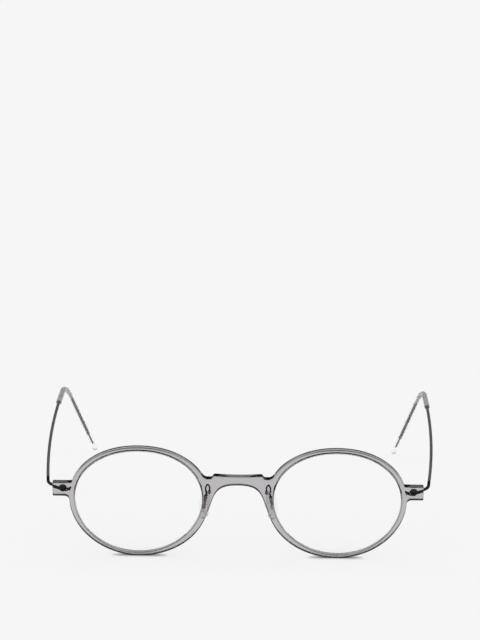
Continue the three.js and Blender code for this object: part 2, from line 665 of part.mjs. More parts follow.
// Turns and moves a geometry made round the z axis, so that z runs up the swivel axis from its top
// end and x faces back and outwards along the pad's width.
function placeOnPivot(geometry) {
  const up = PIVOT_DOWN.clone().negate();
  const width = new THREE.Vector3(Math.sin(PAD_SPLAY), Math.cos(PAD_SPLAY), 0);
  const through = new THREE.Vector3().crossVectors(up, width).normalize();
  width.crossVectors(through, up);
  const placing = new THREE.Matrix4().makeBasis(width, through, up);
  placing.setPosition(PIVOT_TOP);
  return geometry.applyMatrix4(placing);
}

// A straight rod or tube on the swivel axis, from one distance below its top end to another.
function rodOnPivot(radius, from, to) {
  const geometry = new THREE.CylinderGeometry(radius, radius, to - from, PIN_SIDES);
  geometry.rotateX(Math.PI / 2);
  geometry.translate(0, 0, -(from + to) / 2);
  return placeOnPivot(geometry);
}

// The stiff tube inside the pad that turns on the arm.
function coreGeometry() {
  const outside = rodOnPivot(CORE_RADIUS, CORE_TOP, CORE_TOP + CORE_LENGTH);
  const hole = ARM_RADIUS + PIVOT_GAP;
  const bore = rodOnPivot(hole, CORE_TOP - CUT_OVERRUN, CORE_TOP + CORE_LENGTH + CUT_OVERRUN);
  return geometryOf(solid(outside).subtract(solid(bore)));
}

// A soft drop-shaped pad, wider below, with a blind bore that holds the core and the arm's bead.
function padGeometry() {
  const half = PAD_WIDTH / 2;
  const upper = half * PAD_TOP_SHARE;
  const top = PAD_CROWN + CORE_TOP + CORE_LENGTH / 2;
  const bottom = top - PAD_LENGTH;
  const shape = new THREE.Shape();
  shape.moveTo(upper, top - upper);
  shape.absarc(0, top - upper, upper, 0, Math.PI, false);
  shape.lineTo(-half, bottom + half);
  shape.absarc(0, bottom + half, half, Math.PI, 2 * Math.PI, false);
  const drop = plate(shape, PAD_THICKNESS, PAD_ROUND, ROUND_STEPS);
  drop.translate(0, -PAD_THICKNESS / 2, -(CORE_TOP + CORE_LENGTH / 2));
  const boreRadius = CORE_RADIUS + CORE_GAP;
  const bore = rodOnPivot(boreRadius, -PAD_LENGTH, PIVOT_LENGTH + BEAD_RADIUS + CORE_GAP);
  return geometryOf(solid(placeOnPivot(drop)).subtract(solid(bore)));
}

// The front: one cut plate with lens grooves, and blind holes for the brackets' legs and the bushes.
function frontGeometry() {
  const half = grooveSolid();
  const bracket = bracketPoints();
  const hole = BRACKET_RADIUS + BRACKET_HOLE_GAP;
  const back = FRONT_THICKNESS + CUT_OVERRUN;
  const depth = bracket.depth - BRACKET_HOLE_GAP;
  const bushDepth = FRONT_THICKNESS + BUSH_PROUD - BUSH_LENGTH - BUSH_GAP;
  let cuts = half
    .add(solid(rodBack(bracket.highX, bracket.highLeg, hole, depth, back)))
    .add(solid(rodBack(bracket.lowX, bracket.lowLeg, hole, depth, back)))
    .add(solid(rodBack(ARM_HALF_SPREAD, ARM_Z, BUSH_RADIUS + BUSH_GAP, bushDepth, back)));
  cuts = cuts.add(cuts.mirror([1, 0, 0]));
  const blank = plate(frontShape(), FRONT_THICKNESS, EDGE_EASE, EASE_STEPS);
  return geometryOf(solid(blank).subtract(cuts));
}

const acetate = { color: 0xb4b0b4, roughness: 0.25, metalness: 0 };
const clearLens = { color: 0xf2f4f6, roughness: 0.05, metalness: 0 };
const gunmetal = { color: 0x55565a, roughness: 0.4, metalness: 0.9 };
const blackMetal = { color: 0x18181a, roughness: 0.35, metalness: 0.6 };
const sleeveRubber = { color: 0xa3a3a5, roughness: 0.45, metalness: 0 };
const padSilicone = { color: 0xe9eaea, roughness: 0.3, metalness: 0 };

// A named piece in its own finish.
function piece(name, geometry, finish) {
  const mesh = new THREE.Mesh(geometry, new THREE.MeshStandardMaterial(finish));
  mesh.name = name;
  return mesh;
}

const route = templeRoute();
const sideShapes = [
  ["lens", lensGeometry(), clearLens],
  ["hinge_bracket", tube(bracketPoints().points, BRACKET_RADIUS), gunmetal],
  ["hinge_pin", pinGeometry(), blackMetal],
  ["hinge_pin_cap", capGeometry(), gunmetal],
  ["temple_wire", templeWireGeometry(route), gunmetal],
  ["ear_sleeve", sleeveGeometry(route), sleeveRubber],
  ["pad_arm", padArmGeometry(), gunmetal],
  ["pad_arm_bush", bushGeometry(), gunmetal],
  ["pad_core", coreGeometry(), blackMetal],
  ["nose_pad", padGeometry(), padSilicone],
];

// One side's pieces. The left side is the right one mirrored.
function sideGroup(side) {
  const group = new THREE.Group();
  for (const [name, geometry, finish] of sideShapes) {
    group.add(piece(name + "_" + side, geometry, finish));
  }
  group.scale.x = side === "left" ? -1 : 1;
  return group;
}

const leaning = new THREE.Group();
leaning.add(piece("front", frontGeometry(), acetate), sideGroup("right"), sideGroup("left"));
leaning.rotation.x = FRONT_LEAN;

// The part's origin is under the middle of its outer box, on the floor it stands on.
const eyeglasses = new THREE.Group();
eyeglasses.add(leaning);
eyeglasses.updateMatrixWorld(true);
const box = new THREE.Box3().setFromObject(leaning, true);
const middle = box.getCenter(new THREE.Vector3());
leaning.position.set(-middle.x, -middle.y, -box.min.z);

// Where the moving pieces turn, in the right side's frame: a point on each axis, and its direction.
eyeglasses.userData.turns = {
  temple: { at: new THREE.Vector3(HINGE_X, HINGE_Y, EYE_LEVEL), along: new THREE.Vector3(0, 0, 1) },
  pad: { at: onPivot(PIVOT_LENGTH / 2), along: PIVOT_DOWN.clone().negate() },
};
export default eyeglasses;
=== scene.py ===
import math

import bmesh
import bpy
from mathutils import Matrix, Vector


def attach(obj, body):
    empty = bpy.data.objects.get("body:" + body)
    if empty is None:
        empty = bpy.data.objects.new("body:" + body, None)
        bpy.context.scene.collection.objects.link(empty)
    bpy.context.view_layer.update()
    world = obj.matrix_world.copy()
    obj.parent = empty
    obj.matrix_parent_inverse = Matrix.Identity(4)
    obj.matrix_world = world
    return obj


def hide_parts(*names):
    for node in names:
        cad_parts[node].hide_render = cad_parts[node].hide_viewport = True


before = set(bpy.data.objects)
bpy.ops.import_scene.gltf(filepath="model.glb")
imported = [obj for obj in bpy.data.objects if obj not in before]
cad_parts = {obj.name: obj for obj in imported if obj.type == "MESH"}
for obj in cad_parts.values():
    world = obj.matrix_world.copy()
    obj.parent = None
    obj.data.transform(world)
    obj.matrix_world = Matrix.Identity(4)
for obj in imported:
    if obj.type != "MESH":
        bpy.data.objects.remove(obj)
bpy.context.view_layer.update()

MM = 0.001
SIDES = ("right", "left")

# The front's frame in the row: leaned back about x, and set down on the rounded foot of its rims.
FRONT_LEAN = math.radians(10.2)
FRONT_PLACE = (0, -61.42873, -0.05315)
FOOT_EASE = 0.3

# Lens openings, rims and bridge.
LENS_SPACING = 69.3
OPENING_HALF_WIDTH = 22.15
OPENING_UP = 18.2
OPENING_DOWN = 21.2
RIM_TOP = 1.45
RIM_BOTTOM = 1.3
RIM_TEMPLE_SIDE = 2.05
RIM_NOSE_SIDE = 2.5
UPPER_ROUNDNESS = 2.09
LOWER_ROUNDNESS = 2.0
TEMPLE_SIDE_ROUNDNESS = 1.94
NOSE_SIDE_ROUNDNESS = 2.02
FRONT_THICKNESS = 2.4
EDGE_EASE = 0.22
BRIDGE_HEIGHT = 3.25
BRIDGE_RISE = 8.8
SHOULDER_HALF_WIDTH = 8.0
SHOULDER_RISE = 0.3
VALLEY_DROP = 0.85
VALLEY_HALF_WIDTH = 9.6
VALLEY_BLEND = math.radians(6)
ARCH_FOOT_HALF_WIDTH = 9.53
ARCH_FOOT_DROP = 7.75
ARCH_JOIN_DROP = 14.55
ARCH_ROUND_SHARE = 0.7
ARCH_SIDE_SHARE = 0.72
ARCH_SIDE_LEAN = math.radians(16.2)
GROOVE_DEPTH = 0.55
GROOVE_HALF_MOUTH = 0.4

# Lugs.
LUG_REACH = 64.6
LUG_TOP = 5.8
LUG_HEIGHT = 5.15
LUG_CORNER = 0.5
LUG_FILLET = 2.0
LUG_TOP_FILLET = 0.5

# Lenses.
LENS_THICKNESS = 1.3
LENS_BULGE = 1.5
LENS_EDGE = 0.42
LENS_BEVEL = 0.35
LENS_GAP = 0.08

# Temple wires and ear sleeves.
WIRE_RADIUS = 0.45
WIRE_PLATING = 0.09
WIRE_TIP_RADIUS = 0.3
WIRE_TIP_LENGTH = 6.2
TEMPLE_HALF_SPREAD = 66.5
CORNER_RADIUS = 2.0
RUN_SETTLING = 1.6
RUN_LENGTH = 97
RUN_OUTWARD = math.radians(3.96)
RUN_INWARD = math.radians(-3.43)
RUN_DROP = math.radians(-7.6)
EAR_RADIUS = 12
HOOK_DROP = math.radians(-59.5)
HOOK_INWARD = math.radians(-28)
SLEEVE_RADIUS = 0.9
SLEEVE_MOUTH_RADIUS = 1.02
SLEEVE_BORE_GAP = 0.11
SLEEVE_START = 13.4
SLEEVE_TIP = 3.2

# Hinges.
HINGE_INSET = 3.35
HINGE_LEVEL = 1.7
PIN_RADIUS = 0.45
PIN_GAP = 0.05
PIN_HEAD_RADIUS = 1.15
PIN_HEAD_HEIGHT = 0.5
PIN_TAIL = 0.32
PIN_EASE = 0.08
CAP_RADIUS = 0.75
CAP_HEIGHT = 0.25
TUBE_EASE = 0.06
EYE_TURNS = 0.8
EYE_CLEARANCE = 0.2
STRAND_TURN = math.radians(80)
STRAND_RISE = math.radians(15)
STRAND_BEND = 0.8
STACK_GAP = 0.06
BRACKET_RADIUS = 0.22
BRACKET_PLATING = 0.06
BRACKET_LEG_INSET = 2.8
BRACKET_LEG_DEPTH = 1.5
BRACKET_HIGH_LEG = 2.6
BRACKET_LOW_LEG = 2.02
BRACKET_LEG_STEP = 0.3

# Nose pads and their arms.
ARM_RADIUS = 0.28
ARM_HALF_SPREAD = 9.95
ARM_LEVEL = 2.35
ARM_STEM = 0.8
ARM_LOOP_HEIGHT = 2.0
ARM_LOOP_WIDTH = 1.3
ARM_LOOP_BACK = 1.5
BUSH_RADIUS = 0.58
BUSH_LENGTH = 1.5
BUSH_PROUD = 0.15
BUSH_GAP = 0.02
PIVOT_HALF_SPREAD = 11.2
PIVOT_BACK = 6.2
PIVOT_DROP = 3.25
PIVOT_LENGTH = 6.9
PIVOT_OUTWARD = math.radians(8)
PIVOT_BACKWARD = math.radians(10)
BEAD_RADIUS = 0.5
BEAD_START = math.radians(45)
BEAD_SPAN = math.radians(129.6)
CORE_RADIUS = 0.5
CORE_LENGTH = 5.4
CORE_TOP = 0.5
CORE_GAP = 0.05
PAD_LENGTH = 11.0
PAD_WIDTH = 6.2
PAD_THICKNESS = 2.2
PAD_TOP_SHARE = 0.82
PAD_ROUND = 0.85
PAD_SPLAY = math.radians(20)
PAD_RISE_SHARE = 0.4

# How finely the pieces are cut.
OUTLINE_STEPS = 240
CURVE_STEPS = 16
WIRE_SIDES = 24
FINE_WIRE_SIDES = 16
SLEEVE_SIDES = 32
TURNED_SIDES = 48
LENS_RINGS = 14
EASE_STEPS = 4
EYE_STEPS = 40
STRAND_STEPS = 6
CORNER_STEPS = 18
SETTLING_STEPS = 8
RUN_STEPS = 97
EAR_STEPS = 40
HOOK_STEPS = 12
WIRE_TIP_STEPS = 6
BRACKET_EYE_STEPS = 8
BRACKET_STEPS = 6
PIN_DOME_STEPS = 10
ARM_STEPS = 10
BEAD_STEPS = 9
PAD_ARC_STEPS = 24
ROUND_END_TURN = math.radians(82)
ROUND_END_ROOM = 1.05
SAME_PLACE = 1e-4
SHARP_FROM = math.radians(35)

# Finishes. A noise mostly lies between its low and its high. Tones come in pairs, the darker one first.
# Densities are per metre. Where a finish or its painted light and shade changes along the part, the two
# limits are places on the row's y, in metres.
GRAIN_LOW = 0.3
GRAIN_HIGH = 0.7
ACETATE_INDEX = 1.49
ACETATE_SOAK = (0.441, 0.430, 0.439)
ACETATE_DENSITY = 438
ACETATE_SHINE = (0.2, 0.2, 0.2)
FACE_TINT = (1, 0.972, 1)
# Painted shade: the walls are tinted darker than the faces, to stand in for the dark lines that light draws
# along the clear plate's edges.
WALL_PAINTED_SHADE = (0.64, 0.63, 0.64)
LENS_INDEX = 1.5
WIRE_SHINE = (0.4, 0.4, 0.4)
WIRE_BLACK = ((0.012, 0.012, 0.013), (0.03, 0.03, 0.032))
WIRE_PLAIN = ((0.38, 0.384, 0.395), (0.5, 0.504, 0.52))
# Painted shade: the wire's tones under the sleeve from the ear bend on.
WIRE_PAINTED_SHADE = ((0.085, 0.085, 0.088), (0.125, 0.125, 0.13))
WIRE_LIGHTENS = (-0.0593, -0.0568)
WIRE_SHADE_LIMITS = (0.04, 0.046)
LACQUER_SHINE = (0.4, 0.4, 0.4)
LACQUER_TONES = ((0.004, 0.004, 0.005), (0.011, 0.011, 0.012))
PAD_STEEL_TONES = ((0.2, 0.19, 0.165), (0.29, 0.275, 0.24))
SLEEVE_INDEX = 1.24
SLEEVE_SOAK = (0.8, 0.8, 0.81)
SLEEVE_DENSITY = 120
SLEEVE_SHINE = (0.5, 0.5, 0.5)
# Painted light and shade: the sleeve is grey and less clear from its mouth to the ear bend, and clear from
# there.
SLEEVE_PAINTED_GREY = ((0.34, 0.34, 0.345), (0.42, 0.42, 0.427))
SLEEVE_CLEAR_TINT = (1, 1, 1)
SLEEVE_CLEARNESS = (0.2, 0.97)
SLEEVE_CLEARS = (0.0425, 0.048)
PAD_INDEX = 1.15
PAD_SOAK = (0.9, 0.9, 0.9)
PAD_DENSITY = 300
PAD_SHINE = (0.4, 0.4, 0.4)

# The table, in metres. Most of its tone is plain, and it darkens only close under the front.
TABLE_HALF_SIZE = 6
TABLE_CELLS = 8
TABLE_TONES = ((0.92, 0.92, 0.92), (0.924, 0.924, 0.924))
PLAIN_SHARE = 0.86
CONTACT_REACH = 0.002
CONTACT_ENDS = (-0.02, 0.02)
CONTACT_SAMPLES = 12

# The studio's light. Behind the part is a dim field with a paler spot low in it. Each has the angles above
# the horizon and to the sides, in degrees, between which it fades out.
LIGHT_LEVEL = 1.22
LOW_LEVEL = 0.5
LOW_ABOVE = (12, 30)
LOW_BESIDE = (13, 21)
DIM_LEVEL = 0.05
DIM_ABOVE = (46, 60)
DIM_BESIDE = (48, 66)

# The camera: its place in millimetres in the row's frame, how it is turned, and its lens. Its reach is in
# metres.
CAMERA_PLACE = (25.2, -1540.595, 478.061)
CAMERA_PITCH = math.radians(14.8472)
CAMERA_YAW = math.radians(0.97)
CAMERA_ROLL = math.radians(0.4802)
CAMERA_LENS = 249.13
CAMERA_SENSOR = 36
CAMERA_REACH = 20

# Places that follow from the sizes above.
LENS_CENTRE = LENS_SPACING / 2
WIDEST_LEVEL = OPENING_DOWN + RIM_BOTTOM
OUTER_UP = OPENING_UP + RIM_TOP
OUTER_DOWN = OPENING_DOWN + RIM_BOTTOM
BRIDGE_TOP = WIDEST_LEVEL + BRIDGE_RISE
ARCH_TOP = BRIDGE_TOP - BRIDGE_HEIGHT
LUG_TOP_LEVEL = WIDEST_LEVEL + LUG_TOP
LUG_BOTTOM_LEVEL = LUG_TOP_LEVEL - LUG_HEIGHT
GROOVE_MIDDLE = FRONT_THICKNESS / 2
HINGE_X = LUG_REACH - HINGE_INSET
EYE_RADIUS = PIN_RADIUS + PIN_GAP + WIRE_RADIUS
HINGE_Y = FRONT_THICKNESS + EYE_CLEARANCE + WIRE_RADIUS + EYE_RADIUS
EYE_LEVEL = LUG_BOTTOM_LEVEL + HINGE_LEVEL
BRACKET_EYE_RADIUS = PIN_RADIUS + PIN_GAP + BRACKET_RADIUS
BRACKET_LEVEL = EYE_LEVEL - WIRE_RADIUS - STACK_GAP - BRACKET_RADIUS
CAP_TOP_LEVEL = BRACKET_LEVEL - BRACKET_RADIUS - STACK_GAP
ARM_Z = WIDEST_LEVEL + ARM_LEVEL
PIVOT_TOP = Vector((PIVOT_HALF_SPREAD, PIVOT_BACK, ARM_Z - PIVOT_DROP))
PIVOT_DOWN = Vector((math.tan(PIVOT_OUTWARD), math.tan(PIVOT_BACKWARD), -1)).normalized()

LEANING = (
    Matrix.Scale(MM, 4)
    @ Matrix.Translation(FRONT_PLACE)
    @ Matrix.Rotation(FRONT_LEAN, 4, "X")
)
MIRROR = Matrix.Scale(-1, 4, (1, 0, 0))


# Drawing lines.

def mixed(a, b, share):
    """The value or point that lies this share of the way from a to b."""
    return a + (b - a) * share


def neighbours(ring):
    """Each item of a closed ring with the one after it."""
    return zip(ring, ring[1:] + ring[:1])


def outline_point(angle, half_width, up, down, lower=LOWER_ROUNDNESS):
    """A point of a lens-like outline about the middle of its widest line: an oval, a little squared above."""
    cosine, sine = math.cos(angle), math.sin(angle)
    reach, roundness = (up, UPPER_ROUNDNESS) if sine > 0 else (down, lower)
    x = math.copysign(half_width * abs(cosine) ** (2 / roundness), cosine)
    z = math.copysign(reach * abs(sine) ** (2 / roundness), sine)
    return Vector((x, z))


def upper_angle(height):
    """The angle at which the rim's outer edge is this far above its widest line."""
    return math.asin((height / OUTER_UP) ** (UPPER_ROUNDNESS / 2))


def lower_angle(depth, roundness):
    """The angle at which the rim's outer edge is this far below its widest line."""
    return math.asin((depth / OUTER_DOWN) ** (roundness / 2))


def rim_point(angle):
    """A point of the right rim's outer edge."""
    if math.cos(angle) > 0:
        side, lower = RIM_TEMPLE_SIDE, TEMPLE_SIDE_ROUNDNESS
    else:
        side, lower = RIM_NOSE_SIDE, NOSE_SIDE_ROUNDNESS
    point = outline_point(angle, OPENING_HALF_WIDTH + side, OUTER_UP, OUTER_DOWN, lower)
    return point + Vector((LENS_CENTRE, WIDEST_LEVEL))


def rim_stretch(start, end):
    """The rim's outer edge from one angle to another."""
    steps = math.ceil(abs(end - start) / (2 * math.pi) * OUTLINE_STEPS)
    return [rim_point(mixed(start, end, step / steps)) for step in range(steps + 1)]


def bend(*controls):
    """A smooth line led by its control points, without its first point."""
    points = []
    for step in range(1, CURVE_STEPS + 1):
        layer = [Vector(control) for control in controls]
        while len(layer) > 1:
            layer = [mixed(a, b, step / CURVE_STEPS) for a, b in zip(layer, layer[1:])]
        points.append(layer[0])
    return points


def half_outline():
    """The right half of the front's outline, from the middle of the bridge's top to its underside."""
    shoulder = BRIDGE_TOP + SHOULDER_RISE
    valley = BRIDGE_TOP - VALLEY_DROP
    halfway = (SHOULDER_HALF_WIDTH + VALLEY_HALF_WIDTH) / 2
    valley_angle = math.pi - upper_angle(valley - WIDEST_LEVEL)
    rim_at_valley = rim_point(valley_angle)
    points = [Vector((0, BRIDGE_TOP))]
    points += bend((0, BRIDGE_TOP), (SHOULDER_HALF_WIDTH / 2, BRIDGE_TOP), (SHOULDER_HALF_WIDTH, shoulder))
    points += bend(points[-1], (halfway, shoulder), (halfway, valley), (VALLEY_HALF_WIDTH, valley))
    past_valley = valley_angle - VALLEY_BLEND
    above_valley = rim_point(past_valley)
    points.append(Vector(((VALLEY_HALF_WIDTH + rim_at_valley.x) / 2, valley)))
    points += bend(points[-1], (rim_at_valley.x, valley), above_valley)
    points += rim_stretch(past_valley, upper_angle(LUG_TOP + LUG_TOP_FILLET))[1:]
    at_lug = rim_point(upper_angle(LUG_TOP))
    points += bend(points[-1], (at_lug.x, LUG_TOP_LEVEL), (at_lug.x + LUG_TOP_FILLET, LUG_TOP_LEVEL))
    points.append(Vector((LUG_REACH - LUG_CORNER, LUG_TOP_LEVEL)))
    points += bend(points[-1], (LUG_REACH, LUG_TOP_LEVEL), (LUG_REACH, LUG_TOP_LEVEL - LUG_CORNER))
    points.append(Vector((LUG_REACH, LUG_BOTTOM_LEVEL + LUG_CORNER)))
    points += bend(points[-1], (LUG_REACH, LUG_BOTTOM_LEVEL), (LUG_REACH - LUG_CORNER, LUG_BOTTOM_LEVEL))
    under_lug = LUG_FILLET - (LUG_BOTTOM_LEVEL - WIDEST_LEVEL)
    under_angle = -lower_angle(under_lug, TEMPLE_SIDE_ROUNDNESS)
    under = rim_point(under_angle)
    points.append(Vector((under.x + LUG_FILLET, LUG_BOTTOM_LEVEL)))
    points += bend(points[-1], (under.x, LUG_BOTTOM_LEVEL), under)
    join_angle = lower_angle(ARCH_JOIN_DROP - BRIDGE_RISE, NOSE_SIDE_ROUNDNESS) - math.pi
    points += rim_stretch(under_angle, join_angle)[1:]
    foot = ARCH_TOP - ARCH_FOOT_DROP
    pull = ARCH_FOOT_DROP * ARCH_SIDE_SHARE
    side = (ARCH_FOOT_HALF_WIDTH - pull * math.sin(ARCH_SIDE_LEAN), foot + pull * math.cos(ARCH_SIDE_LEAN))
    points.append(Vector((ARCH_FOOT_HALF_WIDTH, foot)))
    points += bend(points[-1], side, (ARCH_FOOT_HALF_WIDTH * ARCH_ROUND_SHARE, ARCH_TOP), (0, ARCH_TOP))
    return points


def bent_wire(start, heading, legs):
    """Points along a wire bent in legs. A leg is its length, the turn outwards and the slope up at its end,
    and its steps."""
    points = [Vector(start)]
    turn, slope = heading
    for length, end_turn, end_slope, steps in legs:
        stride = length / steps
        for step in range(steps):
            share = (step + 0.5) / steps
            at_turn = mixed(turn, end_turn, share)
            at_slope = mixed(slope, end_slope, share)
            across = stride * math.cos(at_slope)
            rise = stride * math.sin(at_slope)
            ahead = Vector((across * math.sin(at_turn), across * math.cos(at_turn), rise))
            points.append(points[-1] + ahead)
        turn, slope = end_turn, end_slope
    return points


def slope_through(before, point, after):
    """The way a smooth line runs through a point, for the points before and after it."""
    lead_in, lead_out = (point - before).length ** 0.5, (after - point).length ** 0.5
    past = (point - before) / lead_in
    ahead = (after - point) / lead_out
    return past - (after - before) / (lead_in + lead_out) + ahead


def smooth_line(guide, steps):
    """A line that passes smoothly through guide points that may be unevenly spaced."""
    guide = [Vector(point) for point in guide]
    ends = [2 * guide[0] - guide[1], *guide, 2 * guide[-1] - guide[-2]]
    points = []
    for before, start, end, after in zip(ends, ends[1:], ends[2:], ends[3:]):
        stretch = (end - start).length ** 0.5
        leaving = slope_through(before, start, end) * stretch
        arriving = slope_through(start, end, after) * stretch
        for step in range(steps):
            share = step / steps
            straight = mixed(start, end, 3 * share**2 - 2 * share**3)
            points.append(straight + leaving * share * (1 - share) ** 2 - arriving * share**2 * (1 - share))
    points.append(guide[-1])
    return points


# Making solids.

def into_plate(outline, hole):
    """The directions that lead from an outline's points into the material."""
    area = sum(a.x * b.y - b.x * a.y for a, b in neighbours(outline))
    turn = math.copysign(1, area) * (-1 if hole else 1)
    around = zip(outline[1:] + outline[:1], outline[-1:] + outline[:-1])
    along = [(after - before).normalized() for after, before in around]
    return [Vector((-turn * step.y, turn * step.x)) for step in along]


def ring_edges(made, corners):
    """The edges of a closed ring of corners."""
    return [made.edges.get(pair) for pair in neighbours(corners)]


def raised(made, corners):
    """Extrudes a closed ring of corners and gives the new ring, in the same order."""
    grown = bmesh.ops.extrude_edge_only(made, edges=ring_edges(made, corners))["geom"]
    fresh = {item for item in grown if isinstance(item, bmesh.types.BMVert)}
    risen = []
    for corner in corners:
        ends = [edge.other_vert(corner) for edge in corner.link_edges]
        risen.append(next(end for end in ends if end in fresh))
    return risen


def flat_plate(outlines, levels, ease):
    """A plate with rounded edges, whose walls are marked so that a finish can paint shade on them. outlines
    are its outer edge and its holes, on x and z. levels are the depths of its straight walls, each with how
    far the holes' walls stand back there."""
    turns = [math.pi / 2 * step / EASE_STEPS for step in range(1, EASE_STEPS + 1)]
    eased = [(ease * math.sin(turn), ease * (1 - math.cos(turn))) for turn in turns]
    stations = [(levels[0][0] - rise, inset, 0) for rise, inset in eased[::-1]]
    stations += [(depth, 0, groove) for depth, groove in levels]
    stations += [(levels[-1][0] + rise, inset, 0) for rise, inset in eased]
    front, back = stations[0][0], stations[-1][0]
    made = bmesh.new()
    marked = made.faces.layers.float.new("painted_shade_wall")
    caps = {front: [], back: []}
    for index, outline in enumerate(outlines):
        inward = into_plate(outline, index > 0)
        corners = [made.verts.new((point.x, 0, point.y)) for point in outline]
        for pair in neighbours(corners):
            made.edges.new(pair)
        for depth, inset, groove in stations:
            if depth > front:
                corners = raised(made, corners)
            move = inset + (groove if index > 0 else 0)
            for corner, point, way in zip(corners, outline, inward):
                placed = point + way * move
                corner.co = (placed.x, depth, placed.y)
            if depth in caps:
                caps[depth] += ring_edges(made, corners)
    for wall in made.faces:
        wall[marked] = 1
    for rings in caps.values():
        bmesh.ops.triangle_fill(made, use_beauty=True, use_dissolve=False, edges=rings)
    return made


def turned_frames(points):
    """A frame at each point of a line, with z along it, that never twists about it."""
    frames = []
    turn = None
    before = None
    for index, point in enumerate(points):
        ahead = (points[min(index + 1, len(points) - 1)] - points[max(index - 1, 0)]).normalized()
        if turn is None:
            turn = Vector((0, 0, 1)).rotation_difference(ahead)
        else:
            turn = before.rotation_difference(ahead) @ turn
        before = ahead
        frames.append(Matrix.Translation(point) @ turn.to_matrix().to_4x4())
    return frames


def swept(stations, sides):
    """A round form swept through stations, each a frame and a radius."""
    made = bmesh.new()
    placed = stations[0][0] @ Matrix.Scale(stations[0][1], 4)
    bmesh.ops.create_circle(made, cap_ends=True, radius=1, segments=sides, matrix=placed)
    edges = made.edges[:]
    for place, radius in stations[1:]:
        grown = bmesh.ops.extrude_edge_only(made, edges=edges)["geom"]
        corners = {item for item in grown if isinstance(item, bmesh.types.BMVert)}
        lines = [item for item in grown if isinstance(item, bmesh.types.BMEdge)]
        edges = [line for line in lines if set(line.verts) <= corners]
        target = place @ Matrix.Scale(radius, 4)
        bmesh.ops.transform(made, matrix=target @ placed.inverted(), verts=list(corners))
        placed = target
    bmesh.ops.contextual_create(made, geom=edges)
    return made


def rounded_end(frame_at_end, radius, outwards):
    """Stations that close a rod with a rounded end, in the direction of its frame's z or against it."""
    stations = []
    for step in range(1, EASE_STEPS + 1):
        angle = ROUND_END_TURN * step / EASE_STEPS
        ahead = Matrix.Translation((0, 0, outwards * radius * math.sin(angle)))
        stations.append((frame_at_end @ ahead, radius * math.cos(angle)))
    return stations


def wire(points, radius, sides):
    """A round wire along points, with rounded ends inside its length."""
    frames = turned_frames(points)
    stations = [(place, radius) for place in frames]
    nose = rounded_end(frames[0] @ Matrix.Translation((0, 0, radius)), radius, -1)[::-1]
    tail = rounded_end(frames[-1] @ Matrix.Translation((0, 0, -radius)), radius, 1)
    room = ROUND_END_ROOM * radius
    first = next(i for i, point in enumerate(points) if (point - points[0]).length > room)
    last = next(i for i in range(len(points) - 1, 0, -1) if (points[i] - points[-1]).length > room)
    return swept([*nose, *stations[first : last + 1], *tail], sides)


def spun(line, middle, axis, steps):
    """A line of points, spun round an axis through a middle."""
    made = bmesh.new()
    corners = [made.verts.new(point) for point in line]
    edges = [made.edges.new(pair) for pair in zip(corners, corners[1:])]
    bmesh.ops.spin(
        made,
        geom=corners + edges,
        cent=middle,
        axis=axis,
        angle=2 * math.pi,
        steps=steps,
        use_merge=True,
    )
    bmesh.ops.remove_doubles(made, verts=made.verts[:], dist=SAME_PLACE)
    return made


def turned(profile, x, y):
    """A profile of radii and heights, spun round an upright axis at x and y."""
    line = [(x + radius, y, height) for radius, height in profile]
    return spun(line, (x, y, 0), (0, 0, 1), TURNED_SIDES)


def pieces_of(name, made, body, material, replaced, sides=SIDES, weighted=False):
    """Puts a form drawn on the right side in the row's frame as a piece, and its mirror image on the left."""
    for side in sides:
        own = made.copy()
        whole = name if len(sides) == 1 else f"{name}_{side}"
        place = LEANING @ MIRROR if side == "left" else LEANING
        bmesh.ops.transform(own, matrix=place, verts=own.verts[:])
        bmesh.ops.recalc_face_normals(own, faces=own.faces[:])
        for face in own.faces:
            face.smooth = True
        for edge in own.edges:
            edge.smooth = edge.calc_face_angle(0) < SHARP_FROM
        mesh = bpy.data.meshes.new(whole)
        own.to_mesh(mesh)
        own.free()
        mesh.materials.append(material)
        piece = bpy.data.objects.new(whole, mesh)
        bpy.context.scene.collection.objects.link(piece)
        if weighted:
            even = piece.modifiers.new("even_shading", "WEIGHTED_NORMAL")
            even.keep_sharp = True
            even.weight = 100
        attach(piece, body.format(side=side))
        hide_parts(*[node.format(side=side) for node in replaced])
    made.free()


# The front and the lenses.

def front_form():
    """The plate of both rims, the bridge and the lugs, with a groove round each lens opening."""
    right = half_outline()
    left = [Vector((-point.x, point.y)) for point in right[1:-1]]
    outlines = [right + left[::-1]]
    for side in (1, -1):
        opening = []
        for step in range(OUTLINE_STEPS):
            angle = 2 * math.pi * step / OUTLINE_STEPS
            point = outline_point(angle, OPENING_HALF_WIDTH, OPENING_UP, OPENING_DOWN)
            opening.append(Vector((side * (LENS_CENTRE + point.x), WIDEST_LEVEL + point.y)))
        outlines.append(opening)
    levels = [
        (EDGE_EASE, 0),
        (GROOVE_MIDDLE - GROOVE_HALF_MOUTH, 0),
        (GROOVE_MIDDLE, GROOVE_DEPTH),
        (GROOVE_MIDDLE + GROOVE_HALF_MOUTH, 0),
        (FRONT_THICKNESS - EDGE_EASE, 0),
    ]
    return flat_plate(outlines, levels, EDGE_EASE)


